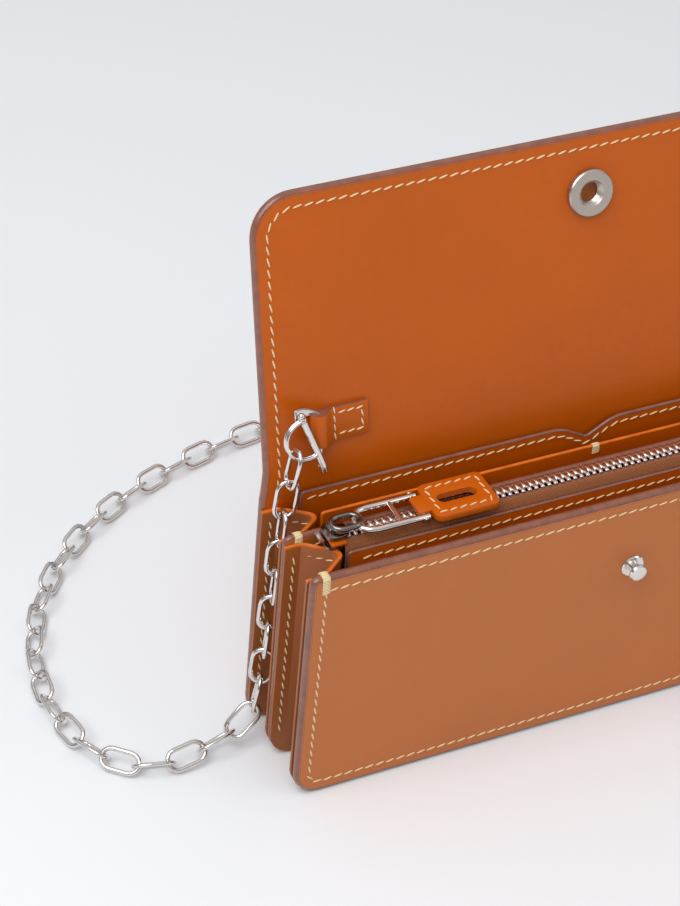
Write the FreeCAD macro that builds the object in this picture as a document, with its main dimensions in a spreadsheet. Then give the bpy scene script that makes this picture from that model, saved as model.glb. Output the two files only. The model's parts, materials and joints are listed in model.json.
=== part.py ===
"""Chain wallet: a long leather wallet with a fold-over flap, an accordion body, a zip pocket and a chain.

Frame: X across the width, -Y towards the front, +Z up, millimetres. The origin is on the surface that the
wallet stands on, under the middle of the middle board. Flap pieces are drawn upright from the rear fold
line, so that their height is the distance from the fold, and are then leaned back about that line.
"""
import math
import os

import FreeCAD
import Part
import Sketcher

Vector = FreeCAD.Vector
X_AXIS = Vector(1, 0, 0)
Y_AXIS = Vector(0, 1, 0)
Z_AXIS = Vector(0, 0, 1)

DIMENSIONS = {
    # boards
    "bottom_half": 100.0,       # half the width at the foot
    "top_half": 98.5,           # half the width at the mouth
    "board_height": 79.0,
    "corner_round": 8.0,
    "leather": 1.3,
    "stiffener": 0.5,
    "lining": 1.2,
    "rim": 6.0,                 # how far the stiffeners stay inside the edge
    # where the layers stand, front to back
    "fold_back": 16.2,          # inner face of the back leather, and the fold line
    "front_inner": -17.8,       # inner face of the front leather
    "middle_thick": 2.0,
    "pocket_front": 12.5,
    "pocket_thick": 1.2,
    "pocket_top": 81.5,
    "pocket_half": 88.0,
    "notch_half": 7.5,
    "notch_deep": 5.0,
    "card_front": 7.2,
    "card_thick": 1.0,
    "card_top": 77.5,
    "panel_half": 84.0,
    "panel_foot": 15.0,
    "wall_front": -10.2,
    "wall_thick": 1.0,
    "wall_top": 77.5,
    # gussets
    "gusset_sheet": 1.0,
    "flange": 5.0,
    "fold_inset": 13.0,
    "gusset_top": 76.6,
    # flap
    "fold_height": 86.0,
    "lean": 13.0,
    "flap_half": 97.5,
    "bridge": 31.7,             # rear fold to front fold
    "flap_long": 80.0,          # rear fold to the free edge
    "flap_round": 12.0,
    "fold_play": 0.3,
    # snap
    "socket_from_fold": 63.3,
    "socket_wide": 13.4,
    "socket_hole": 6.6,
    "socket_barrel": 8.6,
    "socket_proud": 2.1,
    "stud_height": 54.4,
    "stud_long": 4.2,
    "stud_head": 5.4,
    "stud_neck": 3.4,
    "stud_base": 7.0,
    "rivet_wide": 7.0,
    # zip
    "zip_middle": -4.2,
    "zip_level": 79.2,
    "zip_left": -84.0,
    "zip_right": 82.0,
    "tooth_pitch": 2.0,
    "tooth_wide": 1.1,
    "tooth_long": 2.0,
    "tooth_thick": 2.2,
    "zip_gap": 0.5,             # between the two rows' inner ends
    "tape_thick": 0.6,
    # slider and pull
    "slider_left": -89.0,
    "slider_long": 8.4,
    "slider_wide": 7.2,
    "slider_plate": 1.1,
    "blade": 0.3,
    "frame_start": -80.8,
    "frame_long": 21.0,
    "frame_wide": 11.0,
    "frame_wire": 1.6,
    "frame_level": 81.95,
    "tab_long": 19.0,
    "tab_wide": 14.0,
    "tab_thick": 2.0,
    # chain tabs on the flap
    "tab_low": 8.6,
    "tab_high": 18.0,
    "tab_inner": 67.5,
    "loop_middle": 82.5,
    "loop_wide": 5.4,
    "pin_wide": 1.8,
    "tab_leather": 1.5,
    "bar_wide": 1.7,
    "bow_wire": 1.5,
    # chain
    "link_long": 12.8,
    "link_wide": 7.2,
    "link_wire": 1.4,
    "link_pitch": 9.5,
}
TEETH = 82

doc = FreeCAD.newDocument("chain_wallet")
sheet = doc.addObject("Spreadsheet::Sheet", "dims")
for row, (name, value) in enumerate(DIMENSIONS.items(), start=1):
    sheet.set(f"A{row}", name)
    sheet.set(f"B{row}", str(value))
    sheet.setAlias(f"B{row}", name)
doc.recompute()
finished = []


def size(name):
    """A driving dimension, read back from the sheet."""
    return float(sheet.get(name))


def formula(text):
    """Spreadsheet names in an expression get the sheet's own prefix."""
    for name in sorted(DIMENSIONS, key=len, reverse=True):
        text = text.replace(f"<{name}>", f"dims.{name}")
    return text


def bind(thing, **sizes):
    """Tie properties to expressions; a double underscore in a key stands for a dot."""
    for key, text in sizes.items():
        thing.setExpression(key.replace("__", "."), formula(text))


def keep(thing, label):
    thing.Label = label
    finished.append(thing)
    return thing


def lean_back(thing):
    """Put a piece that was drawn from the fold line on the leaning flap."""
    thing.Placement = FreeCAD.Placement(Vector(0, 0, 0), FreeCAD.Rotation(X_AXIS, -size("lean")))
    bind(thing, Placement__Base__y="<fold_back>", Placement__Base__z="<fold_height>")


def box(name, x, y, z, long, deep, high):
    """A block from its low corner and its three sizes, all given as expressions."""
    block = doc.addObject("Part::Box", name)
    bind(block, Length=long, Width=deep, Height=high)
    bind(block, Placement__Base__x=x, Placement__Base__y=y, Placement__Base__z=z)
    return block


def rod(name, radius, length, x, y, z, axis=Z_AXIS):
    """A cylinder from one end's centre, along an axis."""
    bar = doc.addObject("Part::Cylinder", name)
    bar.Placement = FreeCAD.Placement(Vector(0, 0, 0), FreeCAD.Rotation(Z_AXIS, axis))
    bind(bar, Radius=radius, Height=length)
    bind(bar, Placement__Base__x=x, Placement__Base__y=y, Placement__Base__z=z)
    return bar


def cut(name, base, tool):
    made = doc.addObject("Part::Cut", name)
    made.Base, made.Tool = base, tool
    return made


def fuse(name, *shapes):
    made = doc.addObject("Part::MultiFuse", name)
    made.Shapes = list(shapes)
    return made


def mirrored(name, source):
    """The same piece on the other side of the wallet."""
    made = doc.addObject("Part::Mirroring", name)
    made.Source = source
    made.Normal = X_AXIS
    return made


def plane_of(body, role):
    return next(o for o in body.Origin.OriginFeatures if o.Role == role)


def sketch_on(body, role, name):
    sketch = body.newObject("Sketcher::SketchObject", name)
    sketch.AttachmentSupport = [(plane_of(body, role), "")]
    sketch.MapMode = "FlatFace"
    return sketch


def closed_outline(sketch, corners):
    """A closed polygon whose corners are tied to pairs of expressions."""
    count = len(corners)
    start = [Vector(10 * math.cos(2 * math.pi * k / count), 10 * math.sin(2 * math.pi * k / count), 0)
             for k in range(count)]
    for k in range(count):
        sketch.addGeometry(Part.LineSegment(start[k], start[(k + 1) % count]), False)
    for k in range(count):
        sketch.addConstraint(Sketcher.Constraint("Coincident", k, 2, (k + 1) % count, 1))
    for k, pair in enumerate(corners):
        for kind, text in zip(("DistanceX", "DistanceY"), pair):
            value = start[k].x if kind == "DistanceX" else start[k].y
            index = sketch.addConstraint(Sketcher.Constraint(kind, -1, 1, k, 1, value))
            sketch.setExpression(f"Constraints[{index}]", formula(text))


def board(label, corners, back, thick, rounds=(), radius="<corner_round>"):
    """A flat upright panel: an outline in X and Z, padded towards the front from its back face.

    rounds are the numbers of the outline's corners that are rounded.
    """
    body = doc.addObject("PartDesign::Body", label)
    sketch = sketch_on(body, "XZ_Plane", label + "_outline")
    bind(sketch, AttachmentOffset__Base__z=f"-({back})")
    closed_outline(sketch, corners)
    pad = body.newObject("PartDesign::Pad", label + "_pad")
    pad.Profile = sketch
    bind(pad, Length=thick)
    doc.recompute()
    if rounds:
        ends = [sketch.Geometry[k].StartPoint for k in rounds]
        edges = []
        for number, edge in enumerate(pad.Shape.Edges, start=1):
            middle = edge.CenterOfMass
            across = abs(edge.Vertexes[0].Point.y - edge.Vertexes[-1].Point.y)
            if across > 1e-6 and any(math.hypot(middle.x - p.x, middle.z - p.y) < 1e-3 for p in ends):
                edges.append(f"Edge{number}")
        fillet = body.newObject("PartDesign::Fillet", label + "_round")
        fillet.Base = (pad, edges)
        bind(fillet, Radius=radius)
        body.Tip = fillet
    return body


def turned(label, outline, y, z):
    """A round piece turned about a line along Y at height z; its outline is (radius, distance before y)."""
    body = doc.addObject("PartDesign::Body", label)
    sketch = sketch_on(body, "XY_Plane", label + "_half")
    bind(sketch, AttachmentOffset__Base__z=z)
    closed_outline(sketch, [(radius, f"{y} - ({front})") for radius, front in outline])
    turn = body.newObject("PartDesign::Revolution", label + "_turn")
    turn.Profile = sketch
    turn.ReferenceAxis = (sketch, ["V_Axis"])
    turn.Angle = 360
    return body


def full_board(top="<board_height>", low="0", inset="0"):
    """The four corners of a board that runs the wallet's whole width."""
    wide, narrow = f"<bottom_half> - ({inset})", f"<top_half> - ({inset})"
    return [(f"-({wide})", low), (wide, low), (narrow, top), (f"-({narrow})", top)]


def panel(half, low, high):
    return [(f"-({half})", low), (half, low), (half, high), (f"-({half})", high)]


# ---------------------------------------------------------------- back board and its pockets
back_leather_outline = [
    ("-<bottom_half>", "0"), ("<bottom_half>", "0"), ("<top_half>", "<board_height>"),
    ("<flap_half>", "<fold_height> - <fold_play>"), ("-<flap_half>", "<fold_height> - <fold_play>"),
    ("-<top_half>", "<board_height>"),
]
lining_top = "<fold_height> - <stiffener> - <lining> - 2*<fold_play>"
back_lining_outline = [
    (x, lining_top if z.startswith("<fold_height>") else z) for x, z in back_leather_outline
]
keep(board("back_leather", back_leather_outline, "<fold_back> + <leather>", "<leather>", (0, 1)),
     "back_leather")
keep(board("back_stiffener", full_board("<board_height> - <rim>", "<rim>", "<rim>"),
           "<fold_back>", "<stiffener>"), "back_stiffener")
keep(board("back_lining", back_lining_outline, "<fold_back> - <stiffener>", "<lining>", (0, 1)),
     "back_lining")

slip_pocket = [
    ("-<pocket_half>", "<panel_foot>"), ("<pocket_half>", "<panel_foot>"), ("<pocket_half>", "<pocket_top>"),
    ("<notch_half>", "<pocket_top>"), ("0", "<pocket_top> - <notch_deep>"), ("-<notch_half>", "<pocket_top>"),
    ("-<pocket_half>", "<pocket_top>"),
]
keep(board("back_slip_pocket", slip_pocket, "<pocket_front> + <pocket_thick>", "<pocket_thick>"),
     "back_slip_pocket")
keep(board("card_partition", panel("<panel_half>", "<panel_foot>", "<card_top>"),
           "<card_front> + <card_thick>", "<card_thick>"), "card_partition")

# ---------------------------------------------------------------- middle board and zip pocket wall
keep(board("middle_board", full_board(), "<middle_thick> / 2", "<middle_thick>", (0, 1)), "middle_board")
keep(board("zip_pocket_wall", panel("<panel_half>", "<panel_foot>", "<wall_top>"),
           "<wall_front> + <wall_thick>", "<wall_thick>"), "zip_pocket_wall")

# ---------------------------------------------------------------- front board
front_hole = rod("front_stud_hole", "<stud_neck> / 2 + 0.05", "<leather> + 2", "0",
                 "<front_inner> - <leather> - 1", "<stud_height>", Y_AXIS)
front_blank = board("front_blank", full_board(), "<front_inner>", "<leather>", (0, 1))
keep(cut("front_leather", front_blank, front_hole), "front_leather")
stiffener_hole = rod("stiffener_stud_hole", "<rivet_wide> / 2 + 0.3", "4", "0", "<front_inner> - 1",
                     "<stud_height>", Y_AXIS)
stiffener_blank = board("stiffener_blank", full_board("<board_height> - <rim>", "<rim>", "<rim>"),
                        "<front_inner> + <stiffener>", "<stiffener>")
keep(cut("front_stiffener", stiffener_blank, stiffener_hole), "front_stiffener")
keep(board("front_lining", full_board(), "<front_inner> + <stiffener> + <lining>", "<lining>", (0, 1)),
     "front_lining")


# ---------------------------------------------------------------- gussets
def gusset(label, back, front):
    """A V-folded strip that runs down one side, along the foot and up the other side.

    back and front are the Y of the two board faces that its flanges are sewn to. The fold points inwards.
    """
    sheet_thick, flange, inset = size("gusset_sheet"), size("flange"), size("fold_inset")
    middle = (back + front) / 2
    slant = math.hypot(inset - flange, (back - front) / 2) / (inset - flange)
    run = sheet_thick * slant
    profile = [
        (0, back), (flange, back), (inset + run, middle), (flange, front), (0, front),
        (0, front + sheet_thick), (flange - 0.5, front + sheet_thick), (inset, middle),
        (flange - 0.5, back - sheet_thick), (0, back - sheet_thick),
    ]
    bottom, top, high = size("bottom_half"), size("top_half"), size("gusset_top")
    spine = Part.makePolygon([Vector(-top, 0, high), Vector(-bottom, 0, 0), Vector(bottom, 0, 0),
                              Vector(top, 0, high)])
    points = [Vector(-top + n, y, high) for n, y in profile]
    loop = Part.makePolygon(points + points[:1])
    strip = Part.Wire(spine.Edges).makePipeShell([loop], True, False, 1)
    outline = [Vector(-bottom, 0, 0), Vector(bottom, 0, 0), Vector(top, 0, high), Vector(-top, 0, high)]
    block = Part.Face(Part.makePolygon(outline + outline[:1])).extrude(Vector(0, back - front + 2, 0))
    block.translate(Vector(0, front - 1, 0))
    corners = [e for e in block.Edges if e.Vertexes[0].Point.z < 1e-6 and e.Vertexes[-1].Point.z < 1e-6
               and abs(e.Vertexes[0].Point.y - e.Vertexes[-1].Point.y) > 1]
    made = doc.addObject("Part::Feature", label)
    made.Shape = strip.common(block.makeFillet(size("corner_round"), corners)).removeSplitter()
    return keep(made, label)


half_middle = size("middle_thick") / 2
lining_face = size("fold_back") - size("stiffener") - size("lining")
front_face = size("front_inner") + size("stiffener") + size("lining")
gusset("rear_gusset", lining_face, half_middle)
gusset("front_gusset", -half_middle, front_face)

# ---------------------------------------------------------------- flap: bridge over the top, then front
lining_back = "-<stiffener>"
lining_stop = "<bridge> - <stiffener> - <lining> - <fold_play>"
bridge_leather = board("flap_bridge_leather", panel("<flap_half>", "<fold_play>", "<bridge> - <fold_play>"),
                       "<leather>", "<leather>")
bridge_lining = board("flap_bridge_lining", panel("<flap_half>", "<fold_play> + 0.1", lining_stop),
                      lining_back, "<lining>")


def drilled(label, blank, radius, y_end):
    """A flap layer with the socket's round hole, drilled from the lining side as far as y_end."""
    drill = rod(label + "_drill", radius, f"20 + {y_end}", "0", "-20", "<socket_from_fold>", Y_AXIS)
    return cut(label, blank, drill)


flap_start = "<bridge> + <fold_play>"
flap_blank = board("flap_blank", panel("<flap_half>", flap_start, "<flap_long>"), "<leather>", "<leather>",
                   (2, 3), "<flap_round>")
flap_leather = drilled("flap_leather", flap_blank, "<socket_barrel> / 2 + 0.05", "0.6")
core_blank = board("core_blank", panel("<flap_half> - <rim>", "<bridge> + <rim>", "<flap_long> - <rim>"),
                   "0", "<stiffener>")
flap_stiffener = drilled("flap_stiffener", core_blank, "<socket_barrel> / 2 + 0.3", "1")
inside_blank = board("inside_blank", panel("<flap_half>", flap_start, "<flap_long>"), lining_back, "<lining>",
                     (2, 3), "<flap_round>")
flap_lining = drilled("flap_lining", inside_blank, "<socket_barrel> / 2 + 0.05", "1")

# ---------------------------------------------------------------- snap: socket on the flap, stud on the front
inside = "(<stiffener> + <lining>)"
snap_socket = turned("snap_socket", [
    ("<socket_hole> / 2", f"{inside} + <socket_proud>"), ("<socket_wide> / 2", f"{inside} + <socket_proud>"),
    ("<socket_wide> / 2", inside), ("<socket_barrel> / 2", inside), ("<socket_barrel> / 2", "-0.5"),
    ("0", "-0.5"), ("0", "-0.3"), ("<socket_hole> / 2", "-0.3"),
], "0", "<socket_from_fold>")

stud_face = "<front_inner> - <leather>"
shank = "<stud_neck> / 2 - 0.5"
keep(turned("snap_stud", [
    ("0", "<stud_long>"), ("<stud_head> / 2 - 0.5", "<stud_long>"), ("<stud_head> / 2", "<stud_long> - 0.5"),
    ("<stud_head> / 2", "<stud_long> - 1.3"), ("<stud_neck> / 2", "<stud_long> - 1.9"),
    ("<stud_neck> / 2", "0.75"),
    (shank, "0.75"), (shank, "-<leather>"), ("0", "-<leather>"),
], stud_face, "<stud_height>"), "snap_stud")
keep(turned("snap_stud_base", [
    (f"{shank} + 0.05", "0.7"), ("<stud_base> / 2 - 0.3", "0.7"), ("<stud_base> / 2", "0.4"),
    ("<stud_base> / 2", "0"), (f"{shank} + 0.05", "0"),
], stud_face, "<stud_height>"), "snap_stud_base")
keep(turned("snap_stud_rivet", [
    ("0", "-0.02"), ("<rivet_wide> / 2", "-0.02"), ("<rivet_wide> / 2", "-0.45"), ("0", "-0.45"),
], "<front_inner>", "<stud_height>"), "snap_stud_rivet")


# ---------------------------------------------------------------- zip
def along_width(label, outline, left, long):
    """A strip of constant section: an outline in Y and Z, padded to the right from its left end."""
    body = doc.addObject("PartDesign::Body", label)
    sketch = sketch_on(body, "YZ_Plane", label + "_section")
    bind(sketch, AttachmentOffset__Base__z=left)
    closed_outline(sketch, outline)
    pad = body.newObject("PartDesign::Pad", label + "_pad")
    pad.Profile = sketch
    bind(pad, Length=long)
    return body


tape_left, tape_long = "<zip_left> - 7", "<zip_right> - <zip_left> + 10"
tape_top = "<zip_level> + <tape_thick> / 2"
tape_under = "<zip_level> - <tape_thick> / 2"
rear_teeth = "<zip_middle> + <zip_gap> / 2 + <tooth_long>"
front_teeth = "<zip_middle> - <zip_gap> / 2 - <tooth_long>"
board_face = "-<middle_thick> / 2"
wall_face = "<wall_front> + <wall_thick>"
keep(along_width("zip_tape_rear", [
    (rear_teeth, tape_under), (rear_teeth, tape_top), (board_face, tape_top),
    (board_face, "<board_height> - 11"),
    (f"{board_face} - <tape_thick>", "<board_height> - 11"), (f"{board_face} - <tape_thick>", tape_under),
], tape_left, tape_long), "zip_tape_rear")
tape_foot = "<wall_top> - 11"
front_tape = along_width("front_tape", [
    (front_teeth, tape_top), (front_teeth, tape_under), (f"{wall_face} + 1.1", f"{tape_under} - 0.6"),
    (f"{wall_face} + <tape_thick>", f"{tape_under} - 1.3"), (f"{wall_face} + <tape_thick>", tape_foot),
    (wall_face, tape_foot), (wall_face, f"{tape_under} - 1"), (f"{wall_face} + 0.8", f"{tape_top} - 0.5"),
], tape_left, tape_long)
# the tape's leg on the wall stays between the two folds of the gusset
gusset_room = fuse("gusset_room", *[
    box(f"gusset_room_{k}", x, f"{wall_face} - 1", f"{tape_foot} - 1", "12", "6",
        "<gusset_top> - <wall_top> + 12.3")
    for k, x in enumerate(("-<panel_half> - 11.2", "<panel_half> - 0.8"))])
keep(cut("zip_tape_front", front_tape, gusset_room), "zip_tape_front")


def tooth_row(label, side, start):
    """A row of teeth on its bead; side is 1 for the rear row and -1 for the front row."""
    body = doc.addObject("PartDesign::Body", label)
    inner, outer = f"<zip_middle> + {side}*<zip_gap>/2", f"<zip_middle> + {side}*(<zip_gap>/2 + <tooth_long>)"
    root = f"<zip_middle> + {side}*(<zip_gap>/2 + <tooth_long> - 0.7)"
    for part, near, half, left, long in (
        ("bead", root, "<tape_thick>", "<zip_left>", "<zip_right> - <zip_left>"),
        ("tooth", inner, "<tooth_thick> / 2", start, "<tooth_wide>"),
    ):
        sketch = sketch_on(body, "YZ_Plane", f"{label}_{part}_section")
        bind(sketch, AttachmentOffset__Base__z=left)
        low, high = f"<zip_level> - {half}", f"<zip_level> + {half}"
        closed_outline(sketch, [(near, low), (outer, low), (outer, high), (near, high)])
        pad = body.newObject("PartDesign::Pad", f"{label}_{part}")
        pad.Profile = sketch
        bind(pad, Length=long)
        doc.recompute()
    row = body.newObject("PartDesign::LinearPattern", label + "_row")
    row.Originals = [pad]
    row.Direction = (plane_of(body, "X_Axis"), [""])
    row.Occurrences = TEETH
    bind(row, Length=f"{TEETH - 1} * <tooth_pitch>")
    body.Tip = row
    return keep(body, label)


tooth_row("zip_teeth_rear", 1, "<zip_left> + 0.4")
tooth_row("zip_teeth_front", -1, "<zip_left> + 0.4 + <tooth_pitch> / 2")
for label, x, wide in (("zip_closed_stop", "<zip_left> - 6.6", "1.2"),
                       ("zip_open_stop", "<zip_right> + 0.2", "1.6")):
    keep(box(label, x, "<zip_middle> - 2", "<zip_level> + 0.35", wide, "4", "0.7"), label)

# ---------------------------------------------------------------- slider, pull frame and leather pull
half_slot = "(<tooth_thick> / 2 + 0.1)"
plate_y = "<zip_middle> - <slider_wide> / 2"
upper = box("slider_upper", "<slider_left>", plate_y, f"<zip_level> + {half_slot}",
            "<slider_long> - 3.2", "<slider_wide>", "<slider_plate>")
lower = box("slider_lower", "<slider_left>", plate_y, f"<zip_level> - {half_slot} - <slider_plate>",
            "<slider_long> - 1.6", "<slider_wide> / 2 + 2.4", "<slider_plate>")
blade = box("slider_blade", "<slider_left>", "<zip_middle> - <blade> / 2", f"<zip_level> - {half_slot}",
            "2.6", "<blade>", f"2*{half_slot}")
lips = [box(f"slider_lip_{k}", "<slider_left>", y, f"<zip_level> + {half_slot} - 0.5", "<slider_long> - 3.2",
            "0.5", "0.6") for k, y in enumerate((plate_y, "<zip_middle> + <slider_wide> / 2 - 0.5"))]
keep(fuse("zip_slider", upper, lower, blade, *lips), "zip_slider")
slider_top = f"(<zip_level> + {half_slot} + <slider_plate>)"
arch = box("arch_block", "<slider_left> + 1.2", "<zip_middle> - 0.9", slider_top,
           "<slider_long> + 1.8", "1.8", "2.35")
tunnel = box("arch_tunnel", "<slider_left> + 3", "<zip_middle> - 2", f"{slider_top} - 0.5",
             "<slider_long> - 0.9", "4", "2.15")
lip = box("arch_lip", "<slider_left> + <slider_long> + 2.1", "<zip_middle> - 0.9", f"{slider_top} - 0.7",
          "0.8", "1.8", "1")
keep(fuse("slider_bridge", cut("arch", arch, tunnel), lip), "slider_bridge")

frame_low = "<frame_level> - <frame_wire> / 2"
bend = "<frame_start> + <frame_wide> / 2"


def frame_blank(name, inset, z, high):
    """The frame's outer or inner outline: a half round and the straight arms behind it."""
    half = f"(<frame_wide> / 2 - {inset})"
    nose = rod(name + "_nose", half, high, bend, "<zip_middle>", z)
    arms = box(name + "_arms", bend, f"<zip_middle> - {half}", z,
               f"<frame_long> - <frame_wide> / 2 + {inset}", f"2*{half}", high)
    return fuse(name, nose, arms)


frame_ring = cut("frame_ring", frame_blank("frame_outer", "0", frame_low, "<frame_wire>"),
                 frame_blank("frame_inner", "<frame_wire>", f"{frame_low} - 1", "<frame_wire> + 2"))
crossbar = box("frame_crossbar", "<frame_start> + 12", "<zip_middle> - <frame_wide> / 2 + 0.5", frame_low,
               "<frame_wire>", "<frame_wide> - 1", "<frame_wire>")
keep(fuse("pull_frame", frame_ring, crossbar), "pull_frame")
pin_x = "<frame_start> + <frame_long> - 1.4"
pin_half = "(<frame_wide> / 2 - <frame_wire>)"
keep(rod("pull_pin", "0.7", f"2*{pin_half}", pin_x, f"<zip_middle> - {pin_half}", "<frame_level>", Y_AXIS),
     "pull_pin")
tab_low_z = "<frame_level> - <tab_thick> / 2"
neck = box("tab_neck", f"{pin_x} - 1.25", "<zip_middle> - 3.4", tab_low_z, "4.65", "6.8", "<tab_thick>")
plate = box("tab_plate", f"{pin_x} + 2.4", "<zip_middle> - <tab_wide> / 2", tab_low_z,
            "<tab_long>", "<tab_wide>", "<tab_thick>")
tab_blank = fuse("tab_blank", neck, plate)
slot_start, slot_half = f"{pin_x} + 7.5", "1.8"
slot_tools = fuse(
    "tab_slot",
    rod("slot_left", slot_half, "6", slot_start, "<zip_middle>", "<frame_level> - 3"),
    rod("slot_right", slot_half, "6", f"{slot_start} + 8", "<zip_middle>", "<frame_level> - 3"),
    box("slot_middle", slot_start, f"<zip_middle> - {slot_half}", "<frame_level> - 3",
        "8", f"2*{slot_half}", "6"),
    rod("pin_bore", "0.75", "10", pin_x, "<zip_middle> - 5", "<frame_level>", Y_AXIS),
)
keep(cut("leather_pull", tab_blank, slot_tools), "leather_pull")

# ---------------------------------------------------------------- chain tabs and clasps, on the upright flap
tab_high = "<tab_high> - <tab_low>"
loop_y = f"-({inside} + <loop_wide> / 2)"
loop_solid = rod("loop_solid", "<loop_wide> / 2", tab_high, "-<loop_middle>", loop_y, "<tab_low>")
tab_base = box("tab_base", "-<loop_middle>", f"-({inside} + <tab_leather>)", "<tab_low>",
               "<loop_middle> - <tab_inner>", "<tab_leather>", tab_high)
loop_bore = rod("loop_bore", "<pin_wide> / 2 + 0.2", "30", "-<loop_middle>", loop_y, "0")
tab_left = cut("tab_left", fuse("tab_solid", loop_solid, tab_base), loop_bore)

bar_y = f"({loop_y} - 3.6)"
bar_foot, bar_head = Vector(-82.8, 0, 3.0), Vector(-89.2, 0, 20.5)
pin = rod("stirrup_pin", "<pin_wide> / 2", "18.6", "-<loop_middle>", loop_y, "2.6")
band = doc.addObject("PartDesign::Body", "stirrup_band")
band_sketch = sketch_on(band, "XY_Plane", "stirrup_band_outline")
bind(band_sketch, AttachmentOffset__Base__z="18.2")
closed_outline(band_sketch, [
    ("-<loop_middle> + 0.7", f"{loop_y} + 0.5"), (f"{bar_head.x - 1}", f"{bar_y} + 2"),
    (f"{bar_head.x - 1}", f"{bar_y} + 0.9"), ("-<loop_middle> + 0.7", f"{loop_y} - 0.6"),
])
band_pad = band.newObject("PartDesign::Pad", "stirrup_band_pad")
band_pad.Profile = band_sketch
bind(band_pad, Length="3")
stirrup_left = fuse("stirrup_left_upright", pin, band)

bar = rod("clasp_bar", "<bar_wide> / 2", f"{(bar_head - bar_foot).Length}",
          f"{bar_foot.x}", bar_y, f"{bar_foot.z}", bar_head - bar_foot)
rivet = rod("clasp_rivet", "0.55", "1.9", f"{bar_head.x}", f"{bar_y} - 1.35", f"{bar_head.z}", Y_AXIS)
doc.recompute()
bow_y = bar.Placement.Base.y
bow_top = bar_foot + (bar_head - bar_foot) * 0.9 + Vector(0, bow_y, 0)
bow_end = bar_foot + (bar_head - bar_foot) * 0.3 + Vector(0, bow_y, 0)
bow_side = Vector(-93.4, bow_y, 11.6)
bow_edge = Part.Arc(bow_top, bow_side, bow_end).toShape()
bow_start, bow_stop = bow_edge.ParameterRange
bow_ring = Part.Wire(Part.makeCircle(size("bow_wire") / 2, bow_top, bow_edge.tangentAt(bow_start)))
bow = doc.addObject("Part::Feature", "clasp_bow")
bow.Shape = Part.Face(bow_ring).revolve(bow_edge.Curve.Center, bow_edge.Curve.Axis,
                                        math.degrees(bow_stop - bow_start))
clasp_left = fuse("clasp_left_upright", bar, rivet, bow)

for label, upright, sides in (
    ("flap_bridge_leather", bridge_leather, 1), ("flap_bridge_lining", bridge_lining, 1),
    ("flap_leather", flap_leather, 1), ("flap_stiffener", flap_stiffener, 1), ("flap_lining", flap_lining, 1),
    ("snap_socket", snap_socket, 1),
    ("chain_tab", tab_left, 2), ("stirrup", stirrup_left, 2), ("clasp", clasp_left, 2),
):
    lean_back(upright)
    if sides == 1:
        keep(upright, label)
    else:
        keep(upright, label + "_left")
        keep(mirrored(label + "_mirror", upright), label + "_right")


# ---------------------------------------------------------------- chain
# The chain's route, from the left clasp to the right one: down between the boards, out along the surface
# to the left, round behind the wallet, where its spare length is put away in two turns, and up again.
drop = [(-91.0, 10.2, 96.4), (-92.4, 9.8, 91.0), (-94.4, 8.8, 80.0), (-95.8, 8.0, 66.0), (-97.0, 7.8, 50.0),
        (-98.4, 7.6, 34.0), (-99.8, 7.2, 21.0), (-102.0, 6.6, 12.5), (-105.6, 5.9, 8.0), (-111.0, 5.0, 5.9),
        (-118.0, 3.8, 4.6)]
lying = 3.3
floor = [(-127, 2.8), (-138, 5.5), (-147, 16), (-151, 31), (-151, 47), (-147, 63), (-139.5, 79),
         (-128, 94), (-113, 107.5), (-95, 118), (-76, 125.5), (-56, 131), (-34, 134), (-12, 135), (11, 134.5),
         (34, 134), (58, 132), (80, 126), (93, 115), (92, 101), (78, 92), (57, 89), (34, 88), (12, 87.5),
         (-10, 87), (-32, 84), (-51, 78), (-60, 66), (-52, 53), (-32, 47), (-10, 45), (12, 44), (34, 44),
         (56, 45), (78, 46), (99, 45), (117, 41), (132, 32), (140, 18), (137, 6), (127, 2.8)]
rise = [(-x, y, z) for x, y, z in reversed(drop)]
route = [Vector(*p) for p in drop] + [Vector(x, y, lying) for x, y in floor] + [Vector(*p) for p in rise]


def smooth_line(points):
    """A clamped, evenly spaced quadratic B-spline with the route's points as its poles."""
    spans = len(points) - 2
    curve = Part.BSplineCurve()
    curve.buildFromPolesMultsKnots(points, [3] + [1] * (spans - 1) + [3], list(range(spans + 1)), False, 2)
    return curve


def link():
    """One link at the origin: its length along X, its width along Y."""
    long, wide, wire = size("link_long"), size("link_wide"), size("link_wire")

    def ring(half_long, half_wide):
        straight = half_long - half_wide
        top, low = Vector(0, half_wide, 0), Vector(0, -half_wide, 0)
        reach = Vector(straight, 0, 0)
        return Part.Wire([
            Part.LineSegment(low - reach, low + reach).toShape(),
            Part.Arc(low + reach, reach + Vector(half_wide, 0, 0), top + reach).toShape(),
            Part.LineSegment(top + reach, top - reach).toShape(),
            Part.Arc(top - reach, Vector(-half_wide, 0, 0) - reach, low - reach).toShape(),
        ])

    face = Part.Face(ring(long / 2, wide / 2)).cut(Part.Face(ring(long / 2 - wire, wide / 2 - wire)))
    solid = face.extrude(Vector(0, 0, wire)).Solids[0]
    solid.translate(Vector(0, 0, -wire / 2))
    return solid


line = smooth_line(route)
line_long = line.length()
hold = 3.6                      # from a clasp's wire to the middle of the link on it
link_count = 2 * round((line_long - 2 * hold) / size("link_pitch") / 2) + 1      # odd: both ends alike
pitch = (line_long - 2 * hold) / (link_count - 1)
places = [line.parameterAtDistance(hold + k * pitch, line.FirstParameter) for k in range(link_count)]
one_link = link()
chain = {"chain_left_drop": [], "chain_floor": [], "chain_right_drop": []}
drop_links = round(100 / pitch)
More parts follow.
